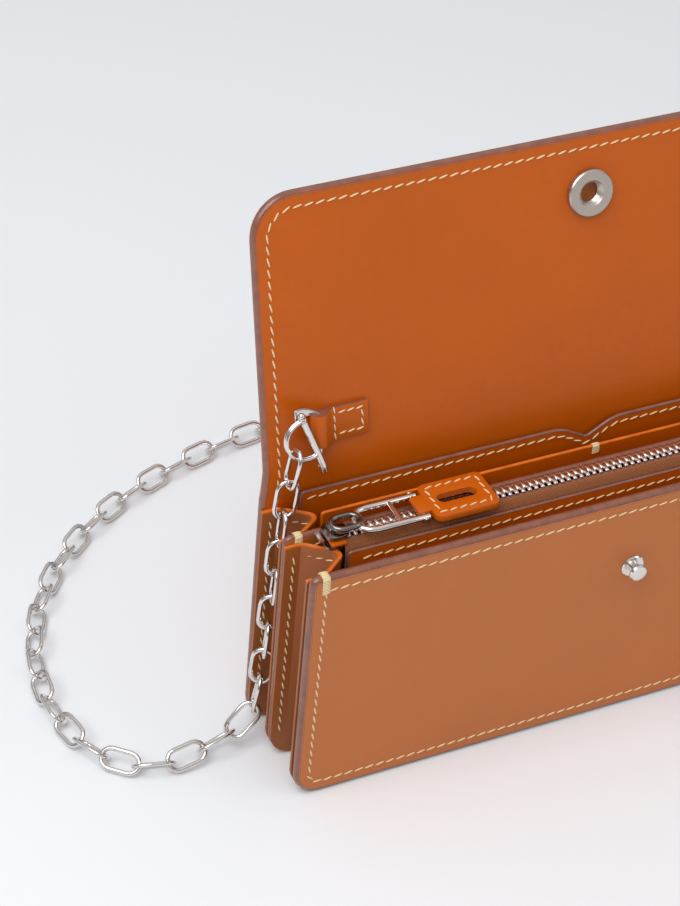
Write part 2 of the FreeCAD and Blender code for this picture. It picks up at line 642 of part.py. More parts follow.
# Each half of the chain is rolled on from its own clasp: a quarter turn from link to link, and over the
# hanging length an eighth turn more, so that the lying links rest on their edges.
for side, steps in ((1, (link_count + 1) // 2), (-1, link_count // 2)):
    across = X_AXIS
    for step in range(steps):
        place = places[step if side == 1 else -1 - step]
        point, way = line.value(place), line.tangent(place)[0] * side
        settled = min(step / drop_links, 1)
        across = across * (1 - settled) + Z_AXIS * math.copysign(settled, across.z)
        across = (across - way * across.dot(way)).normalize()
        turn = side * (90 * ((step + 1) % 2) + 45 * settled)
        solid = one_link.copy()
        frame = FreeCAD.Rotation(way, across, way.cross(across), "XYZ")
        solid.Placement = FreeCAD.Placement(point, frame.multiply(FreeCAD.Rotation(X_AXIS, turn)))
        hanging = "chain_left_drop" if side == 1 else "chain_right_drop"
        chain["chain_floor" if point.z < 2 * lying else hanging].append(solid)
for name, links in chain.items():
    run = doc.addObject("Part::Feature", name)
    run.Shape = Part.makeCompound(links)
    keep(run, name)

# ---------------------------------------------------------------- check, then write one file for each piece
doc.recompute()
for thing in doc.Objects:
    if "Invalid" in thing.State or "Error" in thing.State:
        raise RuntimeError(f"{thing.Label} did not build: {thing.State}")
os.makedirs("parts", exist_ok=True)
for thing in finished:
    shape = thing.Shape
    if shape.isNull() or not shape.isValid() or not shape.Solids:
        raise RuntimeError(f"{thing.Label} has no valid solid")
    shape.exportStep(f"parts/{thing.Label}.step")
print(f"{len(finished)} pieces; {link_count} links on {line_long:.0f} mm of chain, {pitch:.2f} mm apart")
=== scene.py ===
"""Chain wallet: a long leather wallet with an open flap, an accordion body, a zip pocket and a link chain."""
import bisect
import cmath
import json
import math

import bmesh
import bpy
from bpy.props import FloatProperty, PointerProperty, StringProperty
from mathutils import Matrix, Vector


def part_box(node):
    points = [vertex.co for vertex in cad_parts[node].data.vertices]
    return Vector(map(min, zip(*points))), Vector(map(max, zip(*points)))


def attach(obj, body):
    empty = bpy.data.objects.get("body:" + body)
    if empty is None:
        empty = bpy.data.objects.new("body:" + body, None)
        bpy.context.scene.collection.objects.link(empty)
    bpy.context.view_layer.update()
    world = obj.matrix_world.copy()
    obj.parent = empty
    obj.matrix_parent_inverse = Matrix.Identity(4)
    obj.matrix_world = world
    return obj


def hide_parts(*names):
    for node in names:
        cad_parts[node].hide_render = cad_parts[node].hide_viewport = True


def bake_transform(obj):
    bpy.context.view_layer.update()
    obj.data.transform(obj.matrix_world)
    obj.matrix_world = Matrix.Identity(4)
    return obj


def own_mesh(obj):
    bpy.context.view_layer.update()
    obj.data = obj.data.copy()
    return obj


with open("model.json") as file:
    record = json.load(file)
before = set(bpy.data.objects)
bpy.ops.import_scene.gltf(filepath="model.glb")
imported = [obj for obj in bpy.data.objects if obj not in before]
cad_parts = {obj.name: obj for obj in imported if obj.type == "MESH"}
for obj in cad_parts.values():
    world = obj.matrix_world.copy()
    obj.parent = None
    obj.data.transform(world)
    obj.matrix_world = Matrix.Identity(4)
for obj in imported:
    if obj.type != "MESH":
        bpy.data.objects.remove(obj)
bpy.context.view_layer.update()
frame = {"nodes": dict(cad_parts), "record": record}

bl_info = {
    "name": "Chain wallet",
    "version": (1, 0, 0),
    "blender": (4, 5, 0),
    "location": "View3D > Sidebar > Wallet",
    "description": "Builds a leather chain wallet piece by piece round its packed frame",
    "category": "Object",
}

MM = 0.001
CAMERA_IMAGE_HEIGHT = 906


# ---------------------------------------------------------------- places taken from the frame
def node_box(node):
    """A CAD node's lowest and highest corners, in millimetres."""
    low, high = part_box(node)
    return Vector(low) / MM, Vector(high) / MM


def joint_place(name):
    """Where a joint of the record turns, in millimetres."""
    joints = frame["record"]["behaviour"]["joints"]
    return Vector(next(j for j in joints if j["name"] == name)["pos_m"]) / MM


REAR_FOLD = joint_place("flap_rear_fold")
FRONT_FOLD = joint_place("flap_front_fold")
LEAN = math.atan2(FRONT_FOLD.y - REAR_FOLD.y, FRONT_FOLD.z - REAR_FOLD.z)
BRIDGE = (FRONT_FOLD - REAR_FOLD).length
BEND_RUN = 12.0                          # length of leather that curves at the rear fold
BEND_START = REAR_FOLD.z - BEND_RUN / 2
SPLIT = REAR_FOLD.z + BRIDGE / 2         # the sheets are joined in the middle of the bridge
MOUTH = node_box("front_leather")[1].z
FLAP_END = REAR_FOLD.z + 80.0            # the flap's free edge, measured up the leather
FOLD_ROUND = 2.6                         # radius of a gusset's fold
SNAP_LEVEL = REAR_FOLD.z + 63.3          # middle of the snap socket, measured the same way
OUTER, INNER = 1.3, -1.7                 # faces of the back and flap, either side of the fold's plane
ROWS = [BEND_START + BEND_RUN * k / 8 for k in range(-1, 10)]
FRONT_ROWS = [REAR_FOLD.z + BRIDGE + 1.6 * k for k in range(-5, 6)]


def up_the_leather(s):
    """(y, z, lean) of the fold's plane at a distance s up the leather from the foot."""
    if s <= BEND_START:
        return REAR_FOLD.y, s, 0.0
    radius = BEND_RUN / LEAN
    turn = min((s - BEND_START) / BEND_RUN, 1) * LEAN
    beyond = max(s - BEND_START - BEND_RUN, 0)
    return (REAR_FOLD.y + radius * (1 - math.cos(turn)) + beyond * math.sin(LEAN),
            BEND_START + radius * math.sin(turn) + beyond * math.cos(LEAN), turn)


def flap_point(x, y, s):
    """A point drawn flat, as it lies on the back and the open flap; y is behind the fold's plane."""
    line_y, line_z, turn = up_the_leather(s)
    return Vector((x, line_y + y * math.cos(turn), line_z - y * math.sin(turn)))


def bend_onto_flap(bm):
    """Lays what is drawn flat in X and Z along the back board and the open flap."""
    for vert in bm.verts:
        vert.co = flap_point(*vert.co)


REAR_BLEND = ("back", "flap_bridge",
              flap_point(0, 0, BEND_START) * MM, flap_point(0, 0, BEND_START + BEND_RUN) * MM)
FRONT_BLEND = ("flap_bridge", "flap_front",
               flap_point(0, 0, REAR_FOLD.z + BRIDGE - 6.5) * MM, flap_point(0, 0, REAR_FOLD.z + BRIDGE + 6.5) * MM)


# ---------------------------------------------------------------- settings
class WalletSizes(bpy.types.PropertyGroup):
    """Sizes in millimetres that a maker would change."""
    foot_half: FloatProperty(name="Half width at the foot", description="Middle to the lower corner", default=100.0)
    mouth_half: FloatProperty(name="Half width at the mouth", description="Middle to the upper corner", default=98.5)
    flap_half: FloatProperty(name="Half width of the flap", description="Middle to the flap's side", default=97.5)
    foot_round: FloatProperty(name="Foot corner", description="Radius of the boards' lower corners", default=8.0)
    flap_round: FloatProperty(name="Flap corner", description="Radius of the flap's free corners", default=12.0)
    stitch_pitch: FloatProperty(name="Stitch pitch", description="From one stitch to the next", default=3.2)
    stitch_inset: FloatProperty(name="Stitch inset", description="From the edge to the seam", default=4.2)
    thread_wide: FloatProperty(name="Thread", description="Thickness of the sewing thread", default=0.55)
    link_long: FloatProperty(name="Link length", description="Outside length of a chain link", default=12.8)
    link_wide: FloatProperty(name="Link width", description="Outside width of a chain link", default=7.2)
    link_wire: FloatProperty(name="Link wire", description="Thickness of a link's wire", default=1.4)
    link_pitch: FloatProperty(name="Link pitch", description="From one link to the next", default=9.5)


class WalletColours(bpy.types.PropertyGroup):
    """Finish colours as sRGB hex values."""
    cover: StringProperty(name="Cover leather", description="Outside of the boards", default="#C06E34")
    lining: StringProperty(name="Lining leather", description="Inside of the boards and flap", default="#C45A00")
    gusset: StringProperty(name="Gusset leather", description="Outside of the folded sides", default="#A05A28")
    edge: StringProperty(name="Board edge paint", description="Painted edge of the boards", default="#875442")
    gusset_edge: StringProperty(name="Gusset edge paint", description="Painted edge of the gussets", default="#DA6A0A")
    thread: StringProperty(name="Thread", description="Sewing thread", default="#F2D9A6")
    nickel: StringProperty(name="Nickel", description="Polished plate of the chain and frame", default="#E3DEDA")
    gunmetal: StringProperty(name="Dark nickel", description="Polished plate of the slider", default="#8A8380")
    satin: StringProperty(name="Satin nickel", description="Brushed plate of the snap", default="#C9BDB2")
    tape: StringProperty(name="Zip tape", description="Woven tape", default="#A4591C")


class StudioSettings(bpy.types.PropertyGroup):
    """Floor and light."""
    floor: StringProperty(name="Floor", description="Colour of the plain floor", default="#EEF0F3")
    world: FloatProperty(name="Room light", description="Strength of the even light", default=0.76)
    key: FloatProperty(name="Key light", description="Power of the large soft light", default=7.0, unit="POWER")
    fill: FloatProperty(name="Fill light", description="Power of the side light", default=1.2, unit="POWER")


# ---------------------------------------------------------------- materials
def linear(hex_colour):
    """An sRGB hex value as the linear colour that shaders take."""
    parts = [int(hex_colour[k:k + 2], 16) / 255 for k in (1, 3, 5)]
    return tuple(c / 12.92 if c <= 0.04045 else ((c + 0.055) / 1.055) ** 2.4 for c in parts) + (1.0,)


def shade(hex_colour, factor):
    """A linear colour made darker or lighter."""
    return tuple(min(c * factor, 1.0) for c in linear(hex_colour)[:3]) + (1.0,)


def add(tree, kind, settings=None, inputs=None):
    """Adds a node with its settings; an input is a value, or a socket to link from."""
    node = tree.nodes.new(kind)
    for key, value in (settings or {}).items():
        setattr(node, key, value)
    for key, value in (inputs or {}).items():
        if isinstance(value, bpy.types.NodeSocket):
            tree.links.new(value, node.inputs[key])
        else:
            node.inputs[key].default_value = value
    return node


def new_material(name):
    """An empty material: its tree, its shader and its object coordinates."""
    material = bpy.data.materials.new(name)
    material.use_nodes = True
    tree = material.node_tree
    tree.nodes.clear()
    shader = add(tree, "ShaderNodeBsdfPrincipled")
    add(tree, "ShaderNodeOutputMaterial", inputs={"Surface": shader.outputs["BSDF"]})
    place = add(tree, "ShaderNodeTexCoord").outputs["Object"]
    return material, tree, shader, place


def ramp(tree, factor, stops):
    """A colour ramp over the given (position, linear colour) stops."""
    node = add(tree, "ShaderNodeValToRGB", inputs={"Fac": factor})
    elements = node.color_ramp.elements
    while len(elements) < len(stops):
        elements.new(0.5)
    for element, (position, colour) in zip(elements, stops):
        element.position, element.color = position, colour
    return node.outputs["Color"]


def leather(name, colour, roughness=0.42, grain=0.00006, coat=0.08, contrast=0.06):
    """Smooth drum-dyed calf with a polished aniline finish.

    The dye gives a soft, cloudy tone a few centimetres wide, the hide a fine pore of about half a
    millimetre, drawn at 0.7 mm so that it shows, and the polish a low coat with broad highlights.
    """
    material, tree, shader, place = new_material(name)
    cloud = add(tree, "ShaderNodeTexNoise", inputs={"Vector": place, "Scale": 28.0, "Detail": 4.0, "Roughness": 0.55})
    mottle = add(tree, "ShaderNodeTexNoise", inputs={"Vector": place, "Scale": 420.0, "Detail": 3.0})
    tone = add(tree, "ShaderNodeMix", {"data_type": "FLOAT"},
               {"Factor": 0.3, "A": cloud.outputs["Fac"], "B": mottle.outputs["Fac"]})
    colours = ramp(tree, tone.outputs["Result"],
                   [(0.3, shade(colour, 1 - contrast)), (0.7, shade(colour, 1 + contrast))])
    tree.links.new(colours, shader.inputs["Base Color"])
    gloss = add(tree, "ShaderNodeMapRange", inputs={"Value": tone.outputs["Result"], "From Min": 0.3, "From Max": 0.7,
                                                    "To Min": roughness - 0.04, "To Max": roughness + 0.05})
    tree.links.new(gloss.outputs["Result"], shader.inputs["Roughness"])
    pores = add(tree, "ShaderNodeTexVoronoi", {"feature": "SMOOTH_F1"}, {"Vector": place, "Scale": 1400.0})
    pebble = add(tree, "ShaderNodeTexNoise", inputs={"Vector": place, "Scale": 700.0, "Detail": 5.0})
    relief = add(tree, "ShaderNodeMath", {"operation": "ADD"},
                 {0: pores.outputs["Distance"], 1: pebble.outputs["Fac"]})
    bump = add(tree, "ShaderNodeBump", inputs={"Strength": 0.35, "Distance": grain, "Height": relief.outputs["Value"]})
    tree.links.new(bump.outputs["Normal"], shader.inputs["Normal"])
    shader.inputs["Coat Weight"].default_value = coat
    shader.inputs["Coat Roughness"].default_value = 0.3
    shader.inputs["IOR"].default_value = 1.38
    return material


def edge_paint(name, colour):
    """Acrylic edge paint, burnished: a glossy skin with slight ripples a few millimetres long."""
    material, tree, shader, place = new_material(name)
    ripple = add(tree, "ShaderNodeTexNoise", inputs={"Vector": place, "Scale": 300.0, "Detail": 3.0})
    tree.links.new(ramp(tree, ripple.outputs["Fac"], [(0.35, shade(colour, 0.85)), (0.65, shade(colour, 1.12))]),
                   shader.inputs["Base Color"])
    bump = add(tree, "ShaderNodeBump", inputs={"Strength": 0.3, "Distance": 0.0001, "Height": ripple.outputs["Fac"]})
    tree.links.new(bump.outputs["Normal"], shader.inputs["Normal"])
    shader.inputs["Roughness"].default_value = 0.26
    shader.inputs["Coat Weight"].default_value = 0.4
    shader.inputs["Coat Roughness"].default_value = 0.15
    return material


def thread(name, colour):
    """Waxed polyester thread: twisted plies about 0.25 mm apart, dull with a little wax shine."""
    material, tree, shader, place = new_material(name)
    plies = add(tree, "ShaderNodeTexWave", {"bands_direction": "DIAGONAL"},
                {"Vector": place, "Scale": 640.0, "Distortion": 1.0})
    tree.links.new(ramp(tree, plies.outputs["Fac"], [(0.0, shade(colour, 0.72)), (0.6, shade(colour, 1.0))]),
                   shader.inputs["Base Color"])
    bump = add(tree, "ShaderNodeBump", inputs={"Strength": 0.5, "Distance": 0.00006, "Height": plies.outputs["Fac"]})
    tree.links.new(bump.outputs["Normal"], shader.inputs["Normal"])
    shader.inputs["Roughness"].default_value = 0.55
    shader.inputs["Sheen Weight"].default_value = 0.2
    return material


def plated(name, colour, roughness, scratch=0.00001):
    """Nickel plate over brass: mirror bright or satin, with hair-fine polishing marks."""
    material, tree, shader, place = new_material(name)
    marks = add(tree, "ShaderNodeTexNoise", inputs={"Vector": place, "Scale": 900.0, "Detail": 6.0})
    gloss = add(tree, "ShaderNodeMapRange", inputs={"Value": marks.outputs["Fac"], "From Min": 0.35, "From Max": 0.65,
                                                    "To Min": roughness * 0.8, "To Max": roughness * 1.3})
    tree.links.new(gloss.outputs["Result"], shader.inputs["Roughness"])
    tree.links.new(ramp(tree, marks.outputs["Fac"], [(0.3, shade(colour, 0.94)), (0.7, shade(colour, 1.04))]),
                   shader.inputs["Base Color"])
    bump = add(tree, "ShaderNodeBump", inputs={"Strength": 0.2, "Distance": scratch, "Height": marks.outputs["Fac"]})
    tree.links.new(bump.outputs["Normal"], shader.inputs["Normal"])
    shader.inputs["Metallic"].default_value = 1.0
    return material


def woven_tape(name, colour):
    """Polyester zip tape in a herringbone weave, its ribs 0.8 mm apart and its zigzag 2.4 mm wide."""
    material, tree, shader, place = new_material(name)
    part = add(tree, "ShaderNodeSeparateXYZ", inputs={0: place})
    across = add(tree, "ShaderNodeMath", {"operation": "ADD"}, {0: part.outputs["Y"], 1: part.outputs["Z"]})
    zigzag = add(tree, "ShaderNodeMath", {"operation": "PINGPONG"}, {0: across.outputs["Value"], 1: 0.0012})
    slanted = add(tree, "ShaderNodeMath", {"operation": "ADD"}, {0: part.outputs["X"], 1: zigzag.outputs["Value"]})
    turns = add(tree, "ShaderNodeMath", {"operation": "MULTIPLY"}, {0: slanted.outputs["Value"], 1: math.tau / 0.0008})
    rib = add(tree, "ShaderNodeMath", {"operation": "SINE"}, {0: turns.outputs["Value"]})
    tree.links.new(ramp(tree, rib.outputs["Value"], [(0.0, shade(colour, 0.55)), (0.8, shade(colour, 1.1))]),
                   shader.inputs["Base Color"])
    bump = add(tree, "ShaderNodeBump", inputs={"Strength": 0.6, "Distance": 0.00015, "Height": rib.outputs["Value"]})
    tree.links.new(bump.outputs["Normal"], shader.inputs["Normal"])
    shader.inputs["Roughness"].default_value = 0.75
    shader.inputs["Sheen Weight"].default_value = 0.3
    return material


def finishes():
    """Every material of the wallet by its plain name, made once."""
    colours = bpy.context.scene.wallet_colours
    recipes = {
        "cover_calf": lambda: leather("cover_calf", colours.cover, 0.46),
        "lining_calf": lambda: leather("lining_calf", colours.lining, 0.4, 0.00004, 0.05),
        "gusset_calf": lambda: leather("gusset_calf", colours.gusset, 0.5),
        "board_edge_paint": lambda: edge_paint("board_edge_paint", colours.edge),
        "gusset_edge_paint": lambda: edge_paint("gusset_edge_paint", colours.gusset_edge),
        "waxed_thread": lambda: thread("waxed_thread", colours.thread),
        "polished_nickel": lambda: plated("polished_nickel", colours.nickel, 0.12),
        "dark_nickel": lambda: plated("dark_nickel", colours.gunmetal, 0.16),
        "satin_nickel": lambda: plated("satin_nickel", colours.satin, 0.34, 0.00004),
        "herringbone_tape": lambda: woven_tape("herringbone_tape", colours.tape),
    }
    return {name: bpy.data.materials.get(name) or make() for name, make in recipes.items()}


# ---------------------------------------------------------------- making pieces
def finish_piece(name, bm, finish, body=None, blend=None, replaces=(), sharp=35):
    """Makes an object of a mesh drawn in millimetres and puts it on its CAD body, or leaves it where it is drawn, on no
    body, when it is given a blend.
    """
    bmesh.ops.scale(bm, vec=(MM, MM, MM), verts=bm.verts)
    mesh = bpy.data.meshes.new(name)
    bm.to_mesh(mesh)
    bm.free()
    mesh.shade_smooth()
    mesh.set_sharp_from_angle(angle=math.radians(sharp))
    made = finishes()
    for key in [finish] if isinstance(finish, str) else finish:
        mesh.materials.append(made[key])
    piece = bpy.data.objects.new(name, mesh)
    bpy.context.scene.collection.objects.link(piece)
    if replaces:
        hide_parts(*replaces)
    if blend:
        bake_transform(piece)
    elif body:
        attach(piece, body)
    return piece


def rounded(corners, radii):
    """The (x, z) points of an outline whose corners are rounded; radii are by corner number."""
    bm = bmesh.new()
    verts = [bm.verts.new((x, 0, z)) for x, z in corners]
    bm.faces.new(verts)
    for number, radius in radii.items():
        bmesh.ops.bevel(bm, geom=[verts[number]], offset=radius, segments=max(4, int(radius)), profile=0.5,
                        affect="VERTICES", material=-1)
    face = max(bm.faces, key=lambda f: f.calc_area())
    points = [(v.co.x, v.co.z) for v in face.verts]
    bm.free()
    return points


def opened(points, level):
    """The same outline as an open line, without its straight side at this height."""
    for k in range(len(points)):
        if all(abs(p[1] - level) < 1e-3 for p in (points[k - 1], points[k])):
            return points[k:] + points[:k]
    raise ValueError("the outline has no side at that height")


def sliced(bm, levels, direction=(0, 0, 1)):
    """Cuts rows of edges across a mesh, so that it can bend there."""
    for level in levels:
        bmesh.ops.bisect_plane(bm, geom=bm.verts[:] + bm.edges[:] + bm.faces[:],
                               plane_co=Vector(direction) * level, plane_no=direction)


def cut_panel(points, thick, rows=(), holes=()):
    """A flat piece in X and Z with its back at Y 0 and its front at -thick, cut to an outline."""
    bm = bmesh.new()
    loops = []
    for line in (points, *holes):
        verts = [bm.verts.new((x, 0, z)) for x, z in line]
        loops.append(verts)
    if holes:
        edges = [bm.edges.new((v[k - 1], v[k])) for v in loops for k in range(len(v))]
        bmesh.ops.triangle_fill(bm, use_beauty=True, use_dissolve=False, edges=edges)
    else:
        bm.faces.new(loops[0])
    sliced(bm, rows)
    front = bmesh.ops.extrude_face_region(bm, geom=bm.faces[:])["geom"]
    bmesh.ops.translate(bm, vec=(0, -thick, 0), verts=[g for g in front if isinstance(g, bmesh.types.BMVert)])
    bmesh.ops.recalc_face_normals(bm, faces=bm.faces[:])
    return bm


def soften(bm, amount, segments=2, angle=50):
    """Rounds every edge that is sharper than the angle."""
    edges = [e for e in bm.edges if e.is_manifold and e.calc_face_angle(0) > math.radians(angle)]
    bmesh.ops.bevel(bm, geom=edges, offset=amount, segments=segments, profile=0.5, affect="EDGES",
                    material=-1, clamp_overlap=True)


def tube(line, radius, closed=False):
    """A round tube along (x, y, z) points."""
    curve = bpy.data.curves.new("tube_line", "CURVE")
    curve.dimensions = "3D"
    spline = curve.splines.new("POLY")
    spline.points.add(len(line) - 1)
    for point, place in zip(spline.points, line):
        point.co = (*place, 1)
    spline.use_cyclic_u = closed
    curve.bevel_depth, curve.bevel_resolution, curve.use_fill_caps = radius, 2, not closed
    guide = bpy.data.objects.new("tube_line", curve)
    mesh = bpy.data.meshes.new_from_object(guide)
    bm = bmesh.new()
    bm.from_mesh(mesh)
    bpy.data.objects.remove(guide)
    bpy.data.curves.remove(curve)
    bpy.data.meshes.remove(mesh)
    bmesh.ops.remove_doubles(bm, verts=bm.verts, dist=1e-4)
    return bm


def bead(points, y, radius, closed=True):
    """A round bead along an outline's (x, z) points, such as a painted edge."""
    return tube([(x, y, z) for x, z in points], radius, closed)


def joined(bm, *others):
    """Adds other meshes to the first."""
    for other in others:
        mesh = bpy.data.meshes.new("joined")
        other.to_mesh(mesh)
        other.free()
        bm.from_mesh(mesh)
        bpy.data.meshes.remove(mesh)
    return bm


def stitch(bm, place, direction, normal, long, wide):
    """One stitch: a small spindle of thread lying on a surface."""
    along = direction.normalized()
    side = along.cross(normal).normalized()
    turn = Matrix((side, along.cross(side), along)).transposed().to_4x4()
    size = Matrix.Diagonal((wide / 2, wide / 2, long / 2, 1))
    bmesh.ops.create_uvsphere(bm, u_segments=6, v_segments=5, radius=1, matrix=Matrix.Translation(place) @ turn @ size)


def sew(bm, line, normal, pitch=None, slant=14):
    """Slanted stitches along a line of (x, y, z) points on a face with this normal."""
    sizes = bpy.context.scene.wallet_sizes
    line, normal = [Vector(p) for p in line], Vector(normal).normalized()
    runs = [(a, b, (b - a).length) for a, b in zip(line, line[1:]) if (b - a).length > 1e-6]
    total = sum(run[2] for run in runs)
    count = max(1, round(total / (pitch or sizes.stitch_pitch)))
    passed, which = 0.0, 0
    for number in range(count):
        want = (number + 0.5) * total / count
        while want > passed + runs[which][2]:
            passed += runs[which][2]
            which += 1
        start, end, long = runs[which]
        direction = Matrix.Rotation(math.radians(slant), 3, normal) @ (end - start).normalized()
        stitch(bm, start.lerp(end, (want - passed) / long) + normal * 0.06, direction, normal,
               total / count * 0.88, sizes.thread_wide)


def seam(bm, points, y, outwards, closed=False, pitch=None, slant=14):
    """A seam along (x, z) points on the face at y; outwards is 1 or -1 along Y."""
    line = [(x, y, z) for x, z in points]
    sew(bm, line + line[:1] if closed else line, (0, outwards, 0), pitch, slant)


def laid_flat(bm, level):
    """Turns a panel drawn in X and Z down, so that its Z runs to the back and its front faces up."""
    bmesh.ops.rotate(bm, cent=(0, 0, 0), matrix=Matrix.Rotation(-math.pi / 2, 3, "X"), verts=bm.verts)
    bmesh.ops.translate(bm, vec=(0, 0, level), verts=bm.verts)


def shifted(bm, x=0.0, y=0.0, z=0.0):
    bmesh.ops.translate(bm, vec=(x, y, z), verts=bm.verts)


def mirror_across(bm):
    """The same mesh on the wallet's other side, with its faces outwards."""
    bmesh.ops.scale(bm, vec=(-1, 1, 1), verts=bm.verts)
    bmesh.ops.reverse_faces(bm, faces=bm.faces[:])


# ---------------------------------------------------------------- outlines
def back_outline(inset, sizes):
    """Back board and the lower half of the bridge, up to the split."""
    foot, mouth, flap = sizes.foot_half - inset, sizes.mouth_half - inset, sizes.flap_half - inset
    corners = [(-foot, inset), (foot, inset), (mouth, MOUTH), (flap, REAR_FOLD.z + 2), (flap, SPLIT), (-flap, SPLIT),
               (-flap, REAR_FOLD.z + 2), (-mouth, MOUTH)]
    radius = max(sizes.foot_round - inset, 1)
    return rounded(corners, {0: radius, 1: radius})


def flap_outline(inset, sizes):
    """The upper half of the bridge and the flap's front, above the split."""
    flap, top = sizes.flap_half - inset, FLAP_END - inset
    radius = max(sizes.flap_round - inset, 1)
    return rounded([(-flap, SPLIT), (flap, SPLIT), (flap, top), (-flap, top)], {2: radius, 3: radius})


def board_outline(inset, sizes):
    """The middle and front boards."""
    foot, mouth = sizes.foot_half - inset, sizes.mouth_half - inset
    foot_radius, mouth_radius = max(sizes.foot_round - inset, 1), max(2.5 - inset, 0.6)
    return rounded([(-foot, inset), (foot, inset), (mouth, MOUTH - inset), (-mouth, MOUTH - inset)],
                   {0: foot_radius, 1: foot_radius, 2: mouth_radius, 3: mouth_radius})


# ---------------------------------------------------------------- chain
# Route of the chain from the left clasp to the right one, in metres.
LEFT_DROP = ((-0.0910, 0.0102, 0.0964), (-0.0924, 0.0098, 0.0910), (-0.0944, 0.0088, 0.0800),
             (-0.0958, 0.0080, 0.0660), (-0.0970, 0.0078, 0.0500), (-0.0984, 0.0076, 0.0340),
             (-0.0998, 0.0072, 0.0210), (-0.1020, 0.0066, 0.0125), (-0.1056, 0.0059, 0.0080),
             (-0.1110, 0.0050, 0.0059), (-0.1180, 0.0038, 0.0046))
FLOOR_RUN = ((-0.127, 0.0028), (-0.138, 0.0055), (-0.147, 0.016), (-0.151, 0.031), (-0.151, 0.047),
             (-0.147, 0.063), (-0.1395, 0.079), (-0.128, 0.094), (-0.113, 0.1075), (-0.095, 0.118),
             (-0.076, 0.1255), (-0.056, 0.131), (-0.034, 0.134), (-0.012, 0.135), (0.011, 0.1345),
             (0.034, 0.134), (0.058, 0.132), (0.080, 0.126), (0.093, 0.115), (0.092, 0.101), (0.078, 0.092),
             (0.057, 0.089), (0.034, 0.088), (0.012, 0.0875), (-0.010, 0.087), (-0.032, 0.084), (-0.051, 0.078),
             (-0.060, 0.066), (-0.052, 0.053), (-0.032, 0.047), (-0.010, 0.045), (0.012, 0.044), (0.034, 0.044),
             (0.056, 0.045), (0.078, 0.046), (0.099, 0.045), (0.117, 0.041), (0.132, 0.032), (0.140, 0.018),
             (0.137, 0.006), (0.127, 0.0028))
LYING = 0.0033


def chain_route():
    """The chain's centreline as closely spaced points, read from its smooth curve."""
    rise = [(-x, y, z) for x, y, z in reversed(LEFT_DROP)]
    points = [*LEFT_DROP, *((x, y, LYING) for x, y in FLOOR_RUN), *rise]
    curve = bpy.data.curves.new("chain_line", "CURVE")
    curve.dimensions = "3D"
    spline = curve.splines.new("NURBS")
    spline.points.add(len(points) - 1)
    for point, place in zip(spline.points, points):
        point.co = (*place, 1)
    spline.order_u = 3
    spline.use_endpoint_u = True
    spline.resolution_u = 16
    guide = bpy.data.objects.new("chain_line", curve)
    mesh = bpy.data.meshes.new_from_object(guide)
    line = [v.co.copy() for v in mesh.vertices]
    bpy.data.objects.remove(guide)
    bpy.data.meshes.remove(mesh)
    bpy.data.curves.remove(curve)
    return line


def grown(bm, edges, move=None, spin=None):
    """Extrudes a ring of edges by a move, or spins it half a turn about a point; returns the new ring."""
    if move is not None:
        made = bmesh.ops.extrude_edge_only(bm, edges=edges)["geom"]
        verts = {g for g in made if isinstance(g, bmesh.types.BMVert)}
        bmesh.ops.translate(bm, vec=move, verts=list(verts))
    else:
        made = bmesh.ops.spin(bm, geom=edges, cent=spin, axis=(0, 0, 1), angle=math.pi, steps=7,
                              use_merge=False, use_duplicate=False)["geom_last"]
        verts = {g for g in made if isinstance(g, bmesh.types.BMVert)}
    return [g for g in made if isinstance(g, bmesh.types.BMEdge) and all(v in verts for v in g.verts)]


def oval_ring(long, wide, wire, flat=1.0, sides=8):
    """A closed ring of round wire with two straight sides, long along X and wide along Y."""
    bm = bmesh.new()
    reach, middle = (long - wide) / 2, (wide - wire) / 2
    around = Matrix.Translation((-reach, -middle, 0)) @ Matrix.Diagonal((1, 1, flat, 1)) \
        @ Matrix.Rotation(math.pi / 2, 4, "Y")
    bmesh.ops.create_circle(bm, cap_ends=False, segments=sides, radius=wire / 2, matrix=around)
    ring = grown(bm, bm.edges[:], move=(2 * reach, 0, 0))
    ring = grown(bm, ring, spin=(reach, 0, 0))
    ring = grown(bm, ring, move=(-2 * reach, 0, 0))
    grown(bm, ring, spin=(-reach, 0, 0))
    bmesh.ops.remove_doubles(bm, verts=bm.verts, dist=0.01)
    bmesh.ops.recalc_face_normals(bm, faces=bm.faces[:])
    return bm


